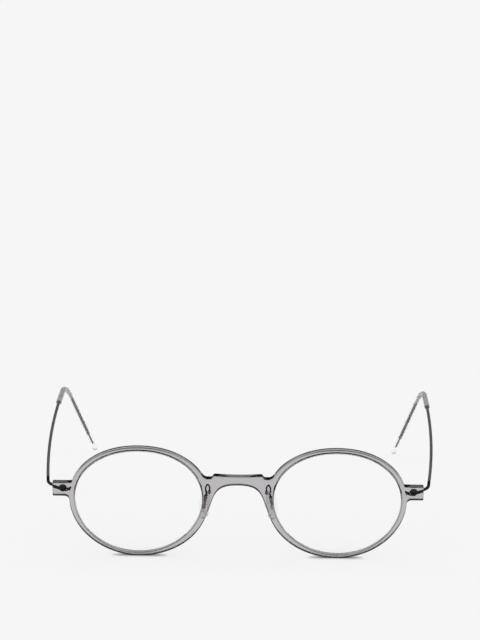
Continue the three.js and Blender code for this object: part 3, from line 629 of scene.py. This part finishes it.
def lens_form():
    """Domed forwards and hollow behind, with a pointed edge that sits in the rim's groove. It is spun round,
    and then drawn to the shape of the opening."""
    shoulder = OPENING_HALF_WIDTH - LENS_GAP
    face = []
    for ring in range(LENS_RINGS + 1):
        share = ring / LENS_RINGS
        face.append((shoulder * share, -LENS_BULGE * (1 - share**2)))
    half = LENS_THICKNESS / 2
    profile = [(reach, dome - half) for reach, dome in face]
    profile += [(shoulder, -LENS_BEVEL), (OPENING_HALF_WIDTH + LENS_EDGE, 0), (shoulder, LENS_BEVEL)]
    profile += [(reach, dome + half) for reach, dome in face[::-1]]
    line = [(reach, GROOVE_MIDDLE + depth, 0) for reach, depth in profile]
    made = spun(line, (0, 0, 0), (0, 1, 0), OUTLINE_STEPS)
    for corner in made.verts:
        reach = math.hypot(corner.co.x, corner.co.z)
        share = min(reach / OPENING_HALF_WIDTH, 1)
        beyond_opening = max(reach - OPENING_HALF_WIDTH, 0)
        up, down = OPENING_UP * share + beyond_opening, OPENING_DOWN * share + beyond_opening
        point = outline_point(math.atan2(corner.co.z, corner.co.x), reach, up, down)
        corner.co.x, corner.co.z = LENS_CENTRE + point.x, WIDEST_LEVEL + point.y
    return made


# The temples.

def height_over_table(point):
    """How high a point or a direction of the front's frame stands once the front is leaned back."""
    return point.z * math.cos(FRONT_LEAN) + point.y * math.sin(FRONT_LEAN)


def temple_route():
    """The temple wire's line in parts: its eye round the pin, its run to the end of the ear bend, the stout
    and the thin part of the hook, and the tip of the sleeve."""
    eye = []
    for step in range(EYE_STEPS + 1):
        angle = 2 * math.pi * (step / EYE_STEPS - 1) * EYE_TURNS + math.pi / 2 - STRAND_TURN
        across, back = EYE_RADIUS * math.sin(angle), -EYE_RADIUS * math.cos(angle)
        eye.append(Vector((HINGE_X + across, HINGE_Y + back, EYE_LEVEL)))
    corner_reach = CORNER_RADIUS * (math.cos(RUN_OUTWARD) - math.cos(STRAND_TURN))
    reach = TEMPLE_HALF_SPREAD - corner_reach - eye[-1].x - STRAND_BEND
    strand = reach / (math.cos(STRAND_RISE) * math.sin(STRAND_TURN))
    corner = CORNER_RADIUS * (STRAND_TURN - RUN_OUTWARD)
    ear = EAR_RADIUS * math.hypot(HOOK_DROP - RUN_DROP, HOOK_INWARD / 2)
    legs = [
        (STRAND_BEND, STRAND_TURN, STRAND_RISE, STRAND_STEPS),
        (strand, STRAND_TURN, STRAND_RISE, STRAND_STEPS),
        (corner, RUN_OUTWARD, STRAND_RISE, CORNER_STEPS),
        (RUN_SETTLING, RUN_OUTWARD, RUN_DROP, SETTLING_STEPS),
        (RUN_LENGTH, RUN_INWARD, RUN_DROP, RUN_STEPS),
        (ear, HOOK_INWARD, HOOK_DROP, EAR_STEPS),
    ]
    run = bent_wire(eye[-1], (STRAND_TURN, 0), legs)
    down = bent_wire((0, 0, 0), (HOOK_INWARD, HOOK_DROP), [(1, HOOK_INWARD, HOOK_DROP, 1)])[1]
    rest = FOOT_EASE * math.sin(FRONT_LEAN) + SLEEVE_RADIUS
    hook_length = (height_over_table(run[-1]) - rest) / -height_over_table(down)
    thick = hook_length - SLEEVE_TIP - WIRE_TIP_LENGTH
    hook = [run[-1] + down * thick * step / HOOK_STEPS for step in range(HOOK_STEPS + 1)]
    thin = [hook[-1] + down * WIRE_TIP_LENGTH * step / WIRE_TIP_STEPS for step in range(WIRE_TIP_STEPS + 1)]
    tip = thin[-1] + down * SLEEVE_TIP
    return eye, run, hook, thin, tip


ROUTE = temple_route()


def temple_form():
    """The temple's wire, stout to the step near its end and thinner from there."""
    eye, run, hook, thin = ROUTE[:4]
    stout = eye + run[1:] + hook[1:]
    frames = turned_frames(stout + thin[1:])
    stations = [(place, WIRE_RADIUS + WIRE_PLATING) for place in frames[: len(stout)]]
    past = Matrix.Translation((0, 0, WIRE_RADIUS - WIRE_TIP_RADIUS))
    stations += [(frames[len(stout) - 1] @ past, WIRE_TIP_RADIUS)]
    stations += [(place, WIRE_TIP_RADIUS) for place in frames[len(stout) : -1]]
    stations += rounded_end(frames[-1] @ Matrix.Translation((0, 0, -WIRE_TIP_RADIUS)), WIRE_TIP_RADIUS, 1)
    return swept(stations, WIRE_SIDES)


def sleeve_form():
    """A soft tube over the temple's end, open at its mouth and round at its tip."""
    run, hook, thin, tip = ROUTE[1:]
    stride = RUN_LENGTH / RUN_STEPS
    mouth = len(run) - 1 - EAR_STEPS - SLEEVE_START / stride
    first = mixed(run[int(mouth)], run[int(mouth) + 1], mouth % 1)
    covered = [first, *run[int(mouth) + 1 :], *hook[1:]]
    bored = turned_frames(covered + thin[1:])
    wide, narrow = WIRE_RADIUS + SLEEVE_BORE_GAP, WIRE_TIP_RADIUS + SLEEVE_BORE_GAP
    past = Matrix.Translation((0, 0, SLEEVE_BORE_GAP))
    stations = [(bored[-1] @ past, narrow)]
    stations += [(place, narrow) for place in bored[len(covered) : -1][::-1]]
    stations += [(bored[len(covered) - 1] @ past, narrow), (bored[len(covered) - 1] @ past, wide)]
    stations += [(place, wide) for place in bored[: len(covered) - 1][::-1]]
    lip = (SLEEVE_MOUTH_RADIUS - wide) / 2
    lip_steps = EASE_STEPS * 2
    for step in range(1, lip_steps):
        angle = math.pi * step / lip_steps
        ahead = Matrix.Translation((0, 0, lip * (1 - math.sin(angle))))
        stations.append((bored[0] @ ahead, wide + lip - lip * math.cos(angle)))
    outside = turned_frames(covered + thin[1:] + [tip])
    narrowing = len(covered) - len(hook)
    for step, place in enumerate(outside[1:], 1):
        stations.append((place, mixed(SLEEVE_MOUTH_RADIUS, SLEEVE_RADIUS, min(step / narrowing, 1))))
    stations += rounded_end(outside[-1], SLEEVE_RADIUS, 1)
    return swept(stations, SLEEVE_SIDES)


# The hinges.

def bracket_form():
    """One wire with both ends in the lug, bent round the pin under the temple's eye."""
    depth = FRONT_THICKNESS - BRACKET_LEG_DEPTH
    high, low = LUG_BOTTOM_LEVEL + BRACKET_HIGH_LEG, LUG_BOTTOM_LEVEL + BRACKET_LOW_LEG
    high_x = HINGE_X - BRACKET_LEG_INSET
    low_x = high_x + BRACKET_LEG_STEP
    eye_x = HINGE_X - EYE_RADIUS - WIRE_RADIUS
    clear = FRONT_THICKNESS + BRACKET_RADIUS
    guide = [
        (high_x, depth, high),
        (high_x, FRONT_THICKNESS, high),
        (high_x, clear, high),
        (high_x, HINGE_Y, (high + BRACKET_LEVEL) / 2),
        (eye_x, HINGE_Y + BRACKET_EYE_RADIUS, BRACKET_LEVEL),
    ]
    for step in range(BRACKET_EYE_STEPS + 1):
        angle = math.pi * step / BRACKET_EYE_STEPS
        across, back = BRACKET_EYE_RADIUS * math.sin(angle), BRACKET_EYE_RADIUS * math.cos(angle)
        guide.append((HINGE_X + across, HINGE_Y + back, BRACKET_LEVEL))
    guide += [
        (eye_x, HINGE_Y - BRACKET_EYE_RADIUS, BRACKET_LEVEL),
        (low_x, clear, low),
        (low_x, FRONT_THICKNESS, low),
        (low_x, depth, low),
    ]
    line = smooth_line(guide, BRACKET_STEPS)
    return wire(line, BRACKET_RADIUS + BRACKET_PLATING, FINE_WIRE_SIDES)


def pin_form():
    """A domed head over the eye, and a plain shank down through the bracket and the cap."""
    bottom = CAP_TOP_LEVEL - PIN_TAIL
    under = EYE_LEVEL + WIRE_RADIUS + STACK_GAP
    profile = [
        (0, bottom),
        (PIN_RADIUS - PIN_EASE, bottom),
        (PIN_RADIUS, bottom + PIN_EASE),
        (PIN_RADIUS, under),
        (PIN_HEAD_RADIUS - PIN_EASE, under),
        (PIN_HEAD_RADIUS, under + PIN_EASE),
    ]
    dome = PIN_HEAD_HEIGHT - PIN_EASE
    for step in range(1, PIN_DOME_STEPS + 1):
        angle = math.pi / 2 * step / PIN_DOME_STEPS
        profile.append((PIN_HEAD_RADIUS * math.cos(angle), under + PIN_EASE + dome * math.sin(angle)))
    return turned(profile, HINGE_X, HINGE_Y)


def cap_form():
    """The ring riveted on the pin's tail."""
    hole = PIN_RADIUS + PIN_GAP
    bottom = CAP_TOP_LEVEL - CAP_HEIGHT
    middle = (bottom + CAP_TOP_LEVEL) / 2
    profile = [
        (hole, bottom),
        ((CAP_RADIUS + hole) / 2, bottom),
        (CAP_RADIUS - TUBE_EASE / 2, middle - TUBE_EASE),
        (CAP_RADIUS, middle),
        (CAP_RADIUS, CAP_TOP_LEVEL - TUBE_EASE),
        (CAP_RADIUS - TUBE_EASE, CAP_TOP_LEVEL),
        (hole, CAP_TOP_LEVEL),
        (hole, bottom),
    ]
    return turned(profile, HINGE_X, HINGE_Y)


# The nose pads and their arms.

def on_pivot(distance):
    """A point of the swivel axis, this far down from its top."""
    return PIVOT_TOP + PIVOT_DOWN * distance


def pivot_place():
    """The place of a form made round z, so that z runs up the swivel axis and x along the pad's width."""
    up = -PIVOT_DOWN
    through = up.cross(Vector((math.sin(PAD_SPLAY), math.cos(PAD_SPLAY), 0))).normalized()
    across = through.cross(up)
    place = Matrix((across, through, up)).transposed().to_4x4()
    place.translation = PIVOT_TOP
    return place


def arm_form():
    """The arm that carries a nose pad: up in a loop behind the bridge, down into the pad, and ended in a
    bead."""
    start = FRONT_THICKNESS + BUSH_PROUD - BUSH_LENGTH
    far = FRONT_THICKNESS + ARM_LOOP_BACK
    outer = ARM_HALF_SPREAD + ARM_LOOP_WIDTH
    guide = [
        (ARM_HALF_SPREAD, start, ARM_Z),
        (ARM_HALF_SPREAD, FRONT_THICKNESS + BUSH_PROUD, ARM_Z),
        (ARM_HALF_SPREAD, FRONT_THICKNESS + ARM_STEM, ARM_Z),
        (ARM_HALF_SPREAD, far, ARM_Z + ARM_LOOP_HEIGHT / 2),
        ((ARM_HALF_SPREAD + outer) / 2, far, ARM_Z + ARM_LOOP_HEIGHT),
        (outer, far, ARM_Z + ARM_LOOP_HEIGHT / 2),
        (outer, (far + PIVOT_BACK) / 2, ARM_Z - PIVOT_DROP / 4),
        on_pivot(-PIVOT_DROP / 4),
        on_pivot(0),
        on_pivot(PIVOT_LENGTH / 2),
        on_pivot(PIVOT_LENGTH),
    ]
    frames = turned_frames(smooth_line(guide, ARM_STEPS))
    stations = [(place, ARM_RADIUS) for place in frames[:-1]]
    for step in range(1, BEAD_STEPS + 1):
        angle = BEAD_START + BEAD_SPAN * step / BEAD_STEPS
        ahead = Matrix.Translation((0, 0, -BEAD_RADIUS * math.cos(angle)))
        stations.append((frames[-1] @ ahead, BEAD_RADIUS * math.sin(angle)))
    return swept(stations, FINE_WIRE_SIDES)


def bush_form():
    """The tube round the arm, sunk in the front with only its eased end proud of the back."""
    hole = ARM_RADIUS + BUSH_GAP
    end = FRONT_THICKNESS + BUSH_PROUD
    start = end - BUSH_LENGTH
    profile = [
        (hole, start),
        (BUSH_RADIUS, start),
        (BUSH_RADIUS, end - TUBE_EASE),
        (BUSH_RADIUS - TUBE_EASE, end),
        (hole + TUBE_EASE, end),
        (hole, end - TUBE_EASE),
        (hole, start),
    ]
    made = turned(profile, 0, 0)
    place = Matrix.Translation((ARM_HALF_SPREAD, 0, ARM_Z)) @ Matrix.Rotation(-math.pi / 2, 4, "X")
    bmesh.ops.transform(made, matrix=place, verts=made.verts[:])
    return made


def core_form():
    """The stiff tube inside the pad that turns on the arm."""
    hole = ARM_RADIUS + CORE_GAP
    top, bottom = -CORE_TOP, -CORE_TOP - CORE_LENGTH
    profile = [
        (hole, bottom),
        (CORE_RADIUS - TUBE_EASE, bottom),
        (CORE_RADIUS, bottom + TUBE_EASE),
        (CORE_RADIUS, top - TUBE_EASE),
        (CORE_RADIUS - TUBE_EASE, top),
        (hole, top),
        (hole, bottom),
    ]
    made = turned(profile, 0, 0)
    bmesh.ops.transform(made, matrix=pivot_place(), verts=made.verts[:])
    return made


def pad_form():
    """A soft drop-shaped pad, wider below."""
    half = PAD_WIDTH / 2
    upper = half * PAD_TOP_SHARE
    top = PAD_LENGTH * PAD_RISE_SHARE
    bottom = top - PAD_LENGTH
    outline = []
    for middle, radius, start in ((top - upper, upper, 0), (bottom + half, half, math.pi)):
        for step in range(PAD_ARC_STEPS + 1):
            angle = start + math.pi * step / PAD_ARC_STEPS
            outline.append(Vector((radius * math.cos(angle), middle + radius * math.sin(angle))))
    made = flat_plate([outline], [(PAD_ROUND, 0), (PAD_THICKNESS - PAD_ROUND, 0)], PAD_ROUND)
    down = -(CORE_TOP + CORE_LENGTH / 2)
    middle = Matrix.Translation((0, -PAD_THICKNESS / 2, down))
    bmesh.ops.transform(made, matrix=pivot_place() @ middle, verts=made.verts[:])
    return made


# The finishes.

def fresh_finish(name):
    """A new material, with its nodes and the one that gives it its surface."""
    material = bpy.data.materials.new(name)
    material.use_nodes = True
    shell = material.node_tree.nodes["Principled BSDF"]
    return material, material.node_tree, shell


def grain(tree, scale, detail, stretch=(1, 1, 1)):
    """A noise that lies in the object's own space, in grains per metre."""
    place = tree.nodes.new("ShaderNodeTexCoord")
    turn = tree.nodes.new("ShaderNodeMapping")
    turn.inputs["Scale"].default_value = stretch
    noise = tree.nodes.new("ShaderNodeTexNoise")
    noise.inputs["Scale"].default_value = scale
    noise.inputs["Detail"].default_value = detail
    tree.links.new(place.outputs["Object"], turn.inputs["Vector"])
    tree.links.new(turn.outputs["Vector"], noise.inputs["Vector"])
    return noise.outputs["Fac"]


def between(tree, factor, low, high, start=GRAIN_LOW, end=GRAIN_HIGH):
    """Spreads a value that runs from start to end over low to high."""
    spread = tree.nodes.new("ShaderNodeMapRange")
    spread.inputs["From Min"].default_value = start
    spread.inputs["From Max"].default_value = end
    spread.inputs["To Min"].default_value = low
    spread.inputs["To Max"].default_value = high
    tree.links.new(factor, spread.inputs["Value"])
    return spread.outputs["Result"]


def two_tone(tree, factor, dark, light):
    """Turns a noise into a colour between two tones."""
    ramp = tree.nodes.new("ShaderNodeValToRGB")
    ramp.color_ramp.elements[0].position = GRAIN_LOW
    ramp.color_ramp.elements[1].position = GRAIN_HIGH
    ramp.color_ramp.elements[0].color = (*dark, 1)
    ramp.color_ramp.elements[1].color = (*light, 1)
    tree.links.new(factor, ramp.inputs["Fac"])
    return ramp.outputs["Color"]


def tone_between(tree, factor, first, second):
    """Mixes two tones, each a colour or a node's output, by a factor."""
    tone = tree.nodes.new("ShaderNodeMix")
    tone.data_type = "RGBA"
    tree.links.new(factor, tone.inputs["Factor"])
    for socket, colour in ((tone.inputs["A"], first), (tone.inputs["B"], second)):
        if isinstance(colour, tuple):
            socket.default_value = (*colour, 1)
        else:
            tree.links.new(colour, socket)
    return tone.outputs["Result"]


def roughened(tree, shell, noise, low, high):
    """Lets the roughness vary with a noise."""
    tree.links.new(between(tree, noise, low, high), shell.inputs["Roughness"])


def uneven(tree, shell, height, strength, distance):
    """Raises the surface by a noise."""
    bump = tree.nodes.new("ShaderNodeBump")
    bump.inputs["Strength"].default_value = strength
    bump.inputs["Distance"].default_value = distance
    tree.links.new(height, bump.inputs["Height"])
    tree.links.new(bump.outputs["Normal"], shell.inputs["Normal"])


def worked_out(tree, operation, *values):
    """The outcome of one operation on values that are numbers or nodes' outputs."""
    step = tree.nodes.new("ShaderNodeMath")
    step.operation = operation
    for socket, value in zip(step.inputs, values):
        if isinstance(value, (int, float)):
            socket.default_value = value
        else:
            tree.links.new(value, socket)
    return step.outputs["Value"]


def along_depth(tree, limits):
    """Grows from 0 to 1 between two places along the object's own y, in metres."""
    place = tree.nodes.new("ShaderNodeTexCoord")
    apart = tree.nodes.new("ShaderNodeSeparateXYZ")
    tree.links.new(place.outputs["Object"], apart.inputs["Vector"])
    return between(tree, apart.outputs["Y"], 0, 1, *limits)


def see_through(tree, shell, index, tint=None, density=0.0):
    """Makes a finish clear, and darker the further light goes through it."""
    shell.inputs["Base Color"].default_value = (1, 1, 1, 1)
    shell.inputs["Transmission Weight"].default_value = 1
    shell.inputs["IOR"].default_value = index
    if tint:
        soak = tree.nodes.new("ShaderNodeVolumeAbsorption")
        soak.inputs["Color"].default_value = (*tint, 1)
        soak.inputs["Density"].default_value = density
        tree.links.new(soak.outputs["Volume"], tree.nodes["Material Output"].inputs["Volume"])


def clear_grey_acetate():
    """Tumbled and polished: clear grey all through, with the faint waves and haze of polishing."""
    material, tree, shell = fresh_finish("clear_grey_acetate")
    see_through(tree, shell, ACETATE_INDEX, ACETATE_SOAK, ACETATE_DENSITY)
    shell.inputs["Specular Tint"].default_value = (*ACETATE_SHINE, 1)
    # The walls are painted darker than the faces: painted shade for the dark lines along the edges.
    wall = tree.nodes.new("ShaderNodeAttribute")
    wall.attribute_name = "painted_shade_wall"
    tint = tone_between(tree, wall.outputs["Fac"], FACE_TINT, WALL_PAINTED_SHADE)
    tree.links.new(tint, shell.inputs["Base Color"])
    roughened(tree, shell, grain(tree, scale=700, detail=3), low=0.0, high=0.05)
    uneven(tree, shell, grain(tree, scale=260, detail=2), strength=0.1, distance=0.04 * MM)
    return material


def lens_plastic():
    """Clear optical plastic with the faintest wipe marks."""
    material, tree, shell = fresh_finish("lens_plastic")
    see_through(tree, shell, LENS_INDEX)
    roughened(tree, shell, grain(tree, scale=160, detail=4, stretch=(1, 1, 3)), low=0.0, high=0.02)
    return material


def pad_metal():
    """Bright drawn steel, faintly yellowed, of the arms and tubes that hold the nose pads."""
    material, tree, shell = fresh_finish("drawn_pad_steel")
    shell.inputs["Metallic"].default_value = 1
    tone = two_tone(tree, grain(tree, scale=600, detail=4), *PAD_STEEL_TONES)
    tree.links.new(tone, shell.inputs["Base Color"])
    roughened(tree, shell, grain(tree, scale=1500, detail=3), low=0.16, high=0.28)
    uneven(tree, shell, grain(tree, scale=5000, detail=2), strength=0.06, distance=0.01 * MM)
    return material


def spring_wire():
    """Drawn spring wire with a satin plating. Its colour runs to black towards the front, where it is bent,
    and from the ear bend on, under the sleeve, it is painted darker as painted shade."""
    material, tree, shell = fresh_finish("gunmetal_spring_wire")
    shell.inputs["Metallic"].default_value = 1
    shell.inputs["Specular Tint"].default_value = (*WIRE_SHINE, 1)
    plain = two_tone(tree, grain(tree, scale=420, detail=4, stretch=(3, 1, 3)), *WIRE_PLAIN)
    black = two_tone(tree, grain(tree, scale=900, detail=4), *WIRE_BLACK)
    dark = two_tone(tree, grain(tree, scale=900, detail=4), *WIRE_PAINTED_SHADE)
    bent = tone_between(tree, along_depth(tree, WIRE_LIGHTENS), black, plain)
    # Painted shade: the wire turns darker under the sleeve from the ear bend on.
    covered = tone_between(tree, along_depth(tree, WIRE_SHADE_LIMITS), bent, dark)
    tree.links.new(covered, shell.inputs["Base Color"])
    roughened(tree, shell, grain(tree, scale=1500, detail=3, stretch=(3, 0.25, 3)), low=0.26, high=0.42)
    drawn = grain(tree, scale=5000, detail=2, stretch=(3, 0.2, 3))
    uneven(tree, shell, drawn, strength=0.12, distance=0.01 * MM)
    return material


def black_lacquer():
    """A hard black coat over metal, worn a little grey."""
    material, tree, shell = fresh_finish("black_coated_metal")
    tone = two_tone(tree, grain(tree, scale=2500, detail=4), *LACQUER_TONES)
    tree.links.new(tone, shell.inputs["Base Color"])
    shell.inputs["Metallic"].default_value = 0
    shell.inputs["Specular Tint"].default_value = (*LACQUER_SHINE, 1)
    roughened(tree, shell, grain(tree, scale=3000, detail=3), low=0.16, high=0.3)
    uneven(tree, shell, grain(tree, scale=6000, detail=2), strength=0.06, distance=0.01 * MM)
    return material


def sleeve_rubber():
    """Soft silicone, clear from the ear bend on. From its mouth to the ear bend it is painted a milky grey:
    painted light and shade, for the sleeve seen nearly end-on and lit from above.
    """
    material, tree, shell = fresh_finish("sleeve_rubber_painted_grey")
    see_through(tree, shell, SLEEVE_INDEX, SLEEVE_SOAK, SLEEVE_DENSITY)
    shell.inputs["Specular Tint"].default_value = (*SLEEVE_SHINE, 1)
    # Painted light and shade: grey from the mouth to the ear bend, clear from there.
    painted_grey = two_tone(tree, grain(tree, scale=300, detail=3), *SLEEVE_PAINTED_GREY)
    clear = along_depth(tree, SLEEVE_CLEARS)
    tree.links.new(tone_between(tree, clear, painted_grey, SLEEVE_CLEAR_TINT), shell.inputs["Base Color"])
    clearness = between(tree, clear, *SLEEVE_CLEARNESS, start=0, end=1)
    tree.links.new(clearness, shell.inputs["Transmission Weight"])
    roughened(tree, shell, grain(tree, scale=900, detail=3), low=0.06, high=0.16)
    uneven(tree, shell, grain(tree, scale=1800, detail=3), strength=0.04, distance=0.02 * MM)
    return material


def pad_silicone():
    """Clear soft silicone with a satin skin."""
    material, tree, shell = fresh_finish("clear_pad_silicone")
    see_through(tree, shell, PAD_INDEX, PAD_SOAK, PAD_DENSITY)
    shell.inputs["Specular Tint"].default_value = (*PAD_SHINE, 1)
    roughened(tree, shell, grain(tree, scale=1100, detail=3), low=0.12, high=0.24)
    uneven(tree, shell, grain(tree, scale=2200, detail=3), strength=0.12, distance=0.02 * MM)
    return material


ACETATE = clear_grey_acetate()
LENS = lens_plastic()
WIRE = spring_wire()
BLACK = black_lacquer()
PAD_METAL = pad_metal()
SLEEVE = sleeve_rubber()
PAD = pad_silicone()


# The pieces.

FRONT_BODY = "front_frame"
TEMPLE_BODY = "temple_{side}"
PAD_BODY = "pad_{side}"

pieces_of(
    "front_plate", front_form(), FRONT_BODY, ACETATE, ["front"], sides=("right",), weighted=True
)

# Each pair's name, form, body, slot, finish, the solids that it replaces, and whether its shading is evened.
PAIRS = (
    ("clear_lens", lens_form(), FRONT_BODY, "clear_lens", LENS, ["lens_{side}"], True),
    ("temple_spring_wire", temple_form(), TEMPLE_BODY, "grey_metal", WIRE, ["temple_wire_{side}"], False),
    ("soft_ear_sleeve", sleeve_form(), TEMPLE_BODY, "sleeve_rubber", SLEEVE, ["ear_sleeve_{side}"], False),
    ("bracket_wire", bracket_form(), FRONT_BODY, "grey_metal", BLACK, ["hinge_bracket_{side}"], False),
    ("domed_pin", pin_form(), FRONT_BODY, "black_metal", BLACK, ["hinge_pin_{side}"], True),
    ("pin_cap", cap_form(), FRONT_BODY, "grey_metal", WIRE, ["hinge_pin_cap_{side}"], True),
    ("pad_arm_wire", arm_form(), FRONT_BODY, "grey_metal", WIRE, ["pad_arm_{side}"], False),
    ("arm_bush", bush_form(), FRONT_BODY, "grey_metal", PAD_METAL, ["pad_arm_bush_{side}"], True),
    ("pad_core_tube", core_form(), PAD_BODY, "black_metal", PAD_METAL, ["pad_core_{side}"], True),
    ("silicone_nose_pad", pad_form(), PAD_BODY, "pad_silicone", PAD, ["nose_pad_{side}"], True),
)
for name, made, body, slot, material, replaced, weighted in PAIRS:
    pieces_of(name, made, body, material, replaced, weighted=weighted)


# The table, the light and the camera.

def pale_table():
    """A matt, pale tone, partly its own light, with a shade close under the front."""
    material, tree, shell = fresh_finish("pale_table")
    dark, light = TABLE_TONES
    tree.links.new(two_tone(tree, grain(tree, scale=3, detail=2), dark, light), shell.inputs["Base Color"])
    shell.inputs["Roughness"].default_value = 1
    shell.inputs["Specular IOR Level"].default_value = 0
    contact = tree.nodes.new("ShaderNodeAmbientOcclusion")
    contact.samples = CONTACT_SAMPLES
    contact.inputs["Distance"].default_value = CONTACT_REACH
    contact.inputs["Color"].default_value = (*light, 1)
    plain = tree.nodes.new("ShaderNodeEmission")
    shade = tone_between(tree, along_depth(tree, CONTACT_ENDS), contact.outputs["Color"], light)
    tree.links.new(shade, plain.inputs["Color"])
    path = tree.nodes.new("ShaderNodeLightPath")
    share = worked_out(tree, "MULTIPLY_ADD", path.outputs["Is Diffuse Ray"], -PLAIN_SHARE, PLAIN_SHARE)
    seen = tree.nodes.new("ShaderNodeMixShader")
    tree.links.new(share, seen.inputs["Fac"])
    tree.links.new(shell.outputs["BSDF"], seen.inputs[1])
    tree.links.new(plain.outputs["Emission"], seen.inputs[2])
    tree.links.new(seen.outputs["Shader"], tree.nodes["Material Output"].inputs["Surface"])
    return material


def table_top():
    """The table that everything stands on."""
    made = bmesh.new()
    bmesh.ops.create_grid(made, x_segments=TABLE_CELLS, y_segments=TABLE_CELLS, size=TABLE_HALF_SIZE)
    mesh = bpy.data.meshes.new("table_top")
    made.to_mesh(mesh)
    made.free()
    mesh.materials.append(pale_table())
    top = bpy.data.objects.new("table_top", mesh)
    bpy.context.scene.collection.objects.link(top)


def beyond(tree, limits):
    """Grows from 0 to 1 where either of two angles passes its limits, which are in degrees."""
    passed = []
    for angle, (start, end) in limits:
        edge = tree.nodes.new("ShaderNodeMapRange")
        edge.interpolation_type = "SMOOTHSTEP"
        edge.inputs["From Min"].default_value = math.radians(start)
        edge.inputs["From Max"].default_value = math.radians(end)
        tree.links.new(angle, edge.inputs["Value"])
        passed.append(edge.outputs["Result"])
    return worked_out(tree, "MAXIMUM", *passed)


def studio_light():
    """A bright, even studio. The dim field draws the clear edges dark, and the paler spot in it lights the
    wires."""
    world = bpy.data.worlds.new("studio")
    bpy.context.scene.world = world
    world.use_nodes = True
    tree = world.node_tree
    place = tree.nodes.new("ShaderNodeTexCoord")
    way = tree.nodes.new("ShaderNodeSeparateXYZ")
    tree.links.new(place.outputs["Generated"], way.inputs["Vector"])
    beside = worked_out(tree, "ABSOLUTE", worked_out(tree, "ARCTAN2", way.outputs["X"], way.outputs["Y"]))
    above = worked_out(tree, "ARCSINE", way.outputs["Z"])
    field = tree.nodes.new("ShaderNodeMapRange")
    field.inputs["To Min"].default_value = LOW_LEVEL
    field.inputs["To Max"].default_value = DIM_LEVEL
    tree.links.new(beyond(tree, [(beside, LOW_BESIDE), (above, LOW_ABOVE)]), field.inputs["Value"])
    level = tree.nodes.new("ShaderNodeMapRange")
    level.inputs["To Max"].default_value = LIGHT_LEVEL
    tree.links.new(field.outputs["Result"], level.inputs["To Min"])
    tree.links.new(beyond(tree, [(beside, DIM_BESIDE), (above, DIM_ABOVE)]), level.inputs["Value"])
    tree.links.new(level.outputs["Result"], tree.nodes["Background"].inputs["Color"])


def camera():
    """The camera, where the photo was taken from."""
    lens = bpy.data.cameras.new("camera")
    lens.sensor_width = CAMERA_SENSOR
    lens.lens = CAMERA_LENS
    lens.clip_end = CAMERA_REACH
    seen = bpy.data.objects.new("camera", lens)
    pitch, yaw, roll = CAMERA_PITCH, CAMERA_YAW, CAMERA_ROLL
    ahead = Vector((-math.sin(yaw) * math.cos(pitch), math.cos(yaw) * math.cos(pitch), -math.sin(pitch)))
    right = Vector((math.cos(yaw), math.sin(yaw), 0))
    up = right.cross(ahead)
    right, up = right * math.cos(roll) + up * math.sin(roll), up * math.cos(roll) - right * math.sin(roll)
    place = Matrix((right, up, -ahead)).transposed().to_4x4()
    place.translation = Vector(CAMERA_PLACE) * MM
    seen.matrix_world = place
    bpy.context.scene.collection.objects.link(seen)
    bpy.context.scene.camera = seen


table_top()
studio_light()
camera()
bpy.context.scene.view_settings.view_transform = "Standard"
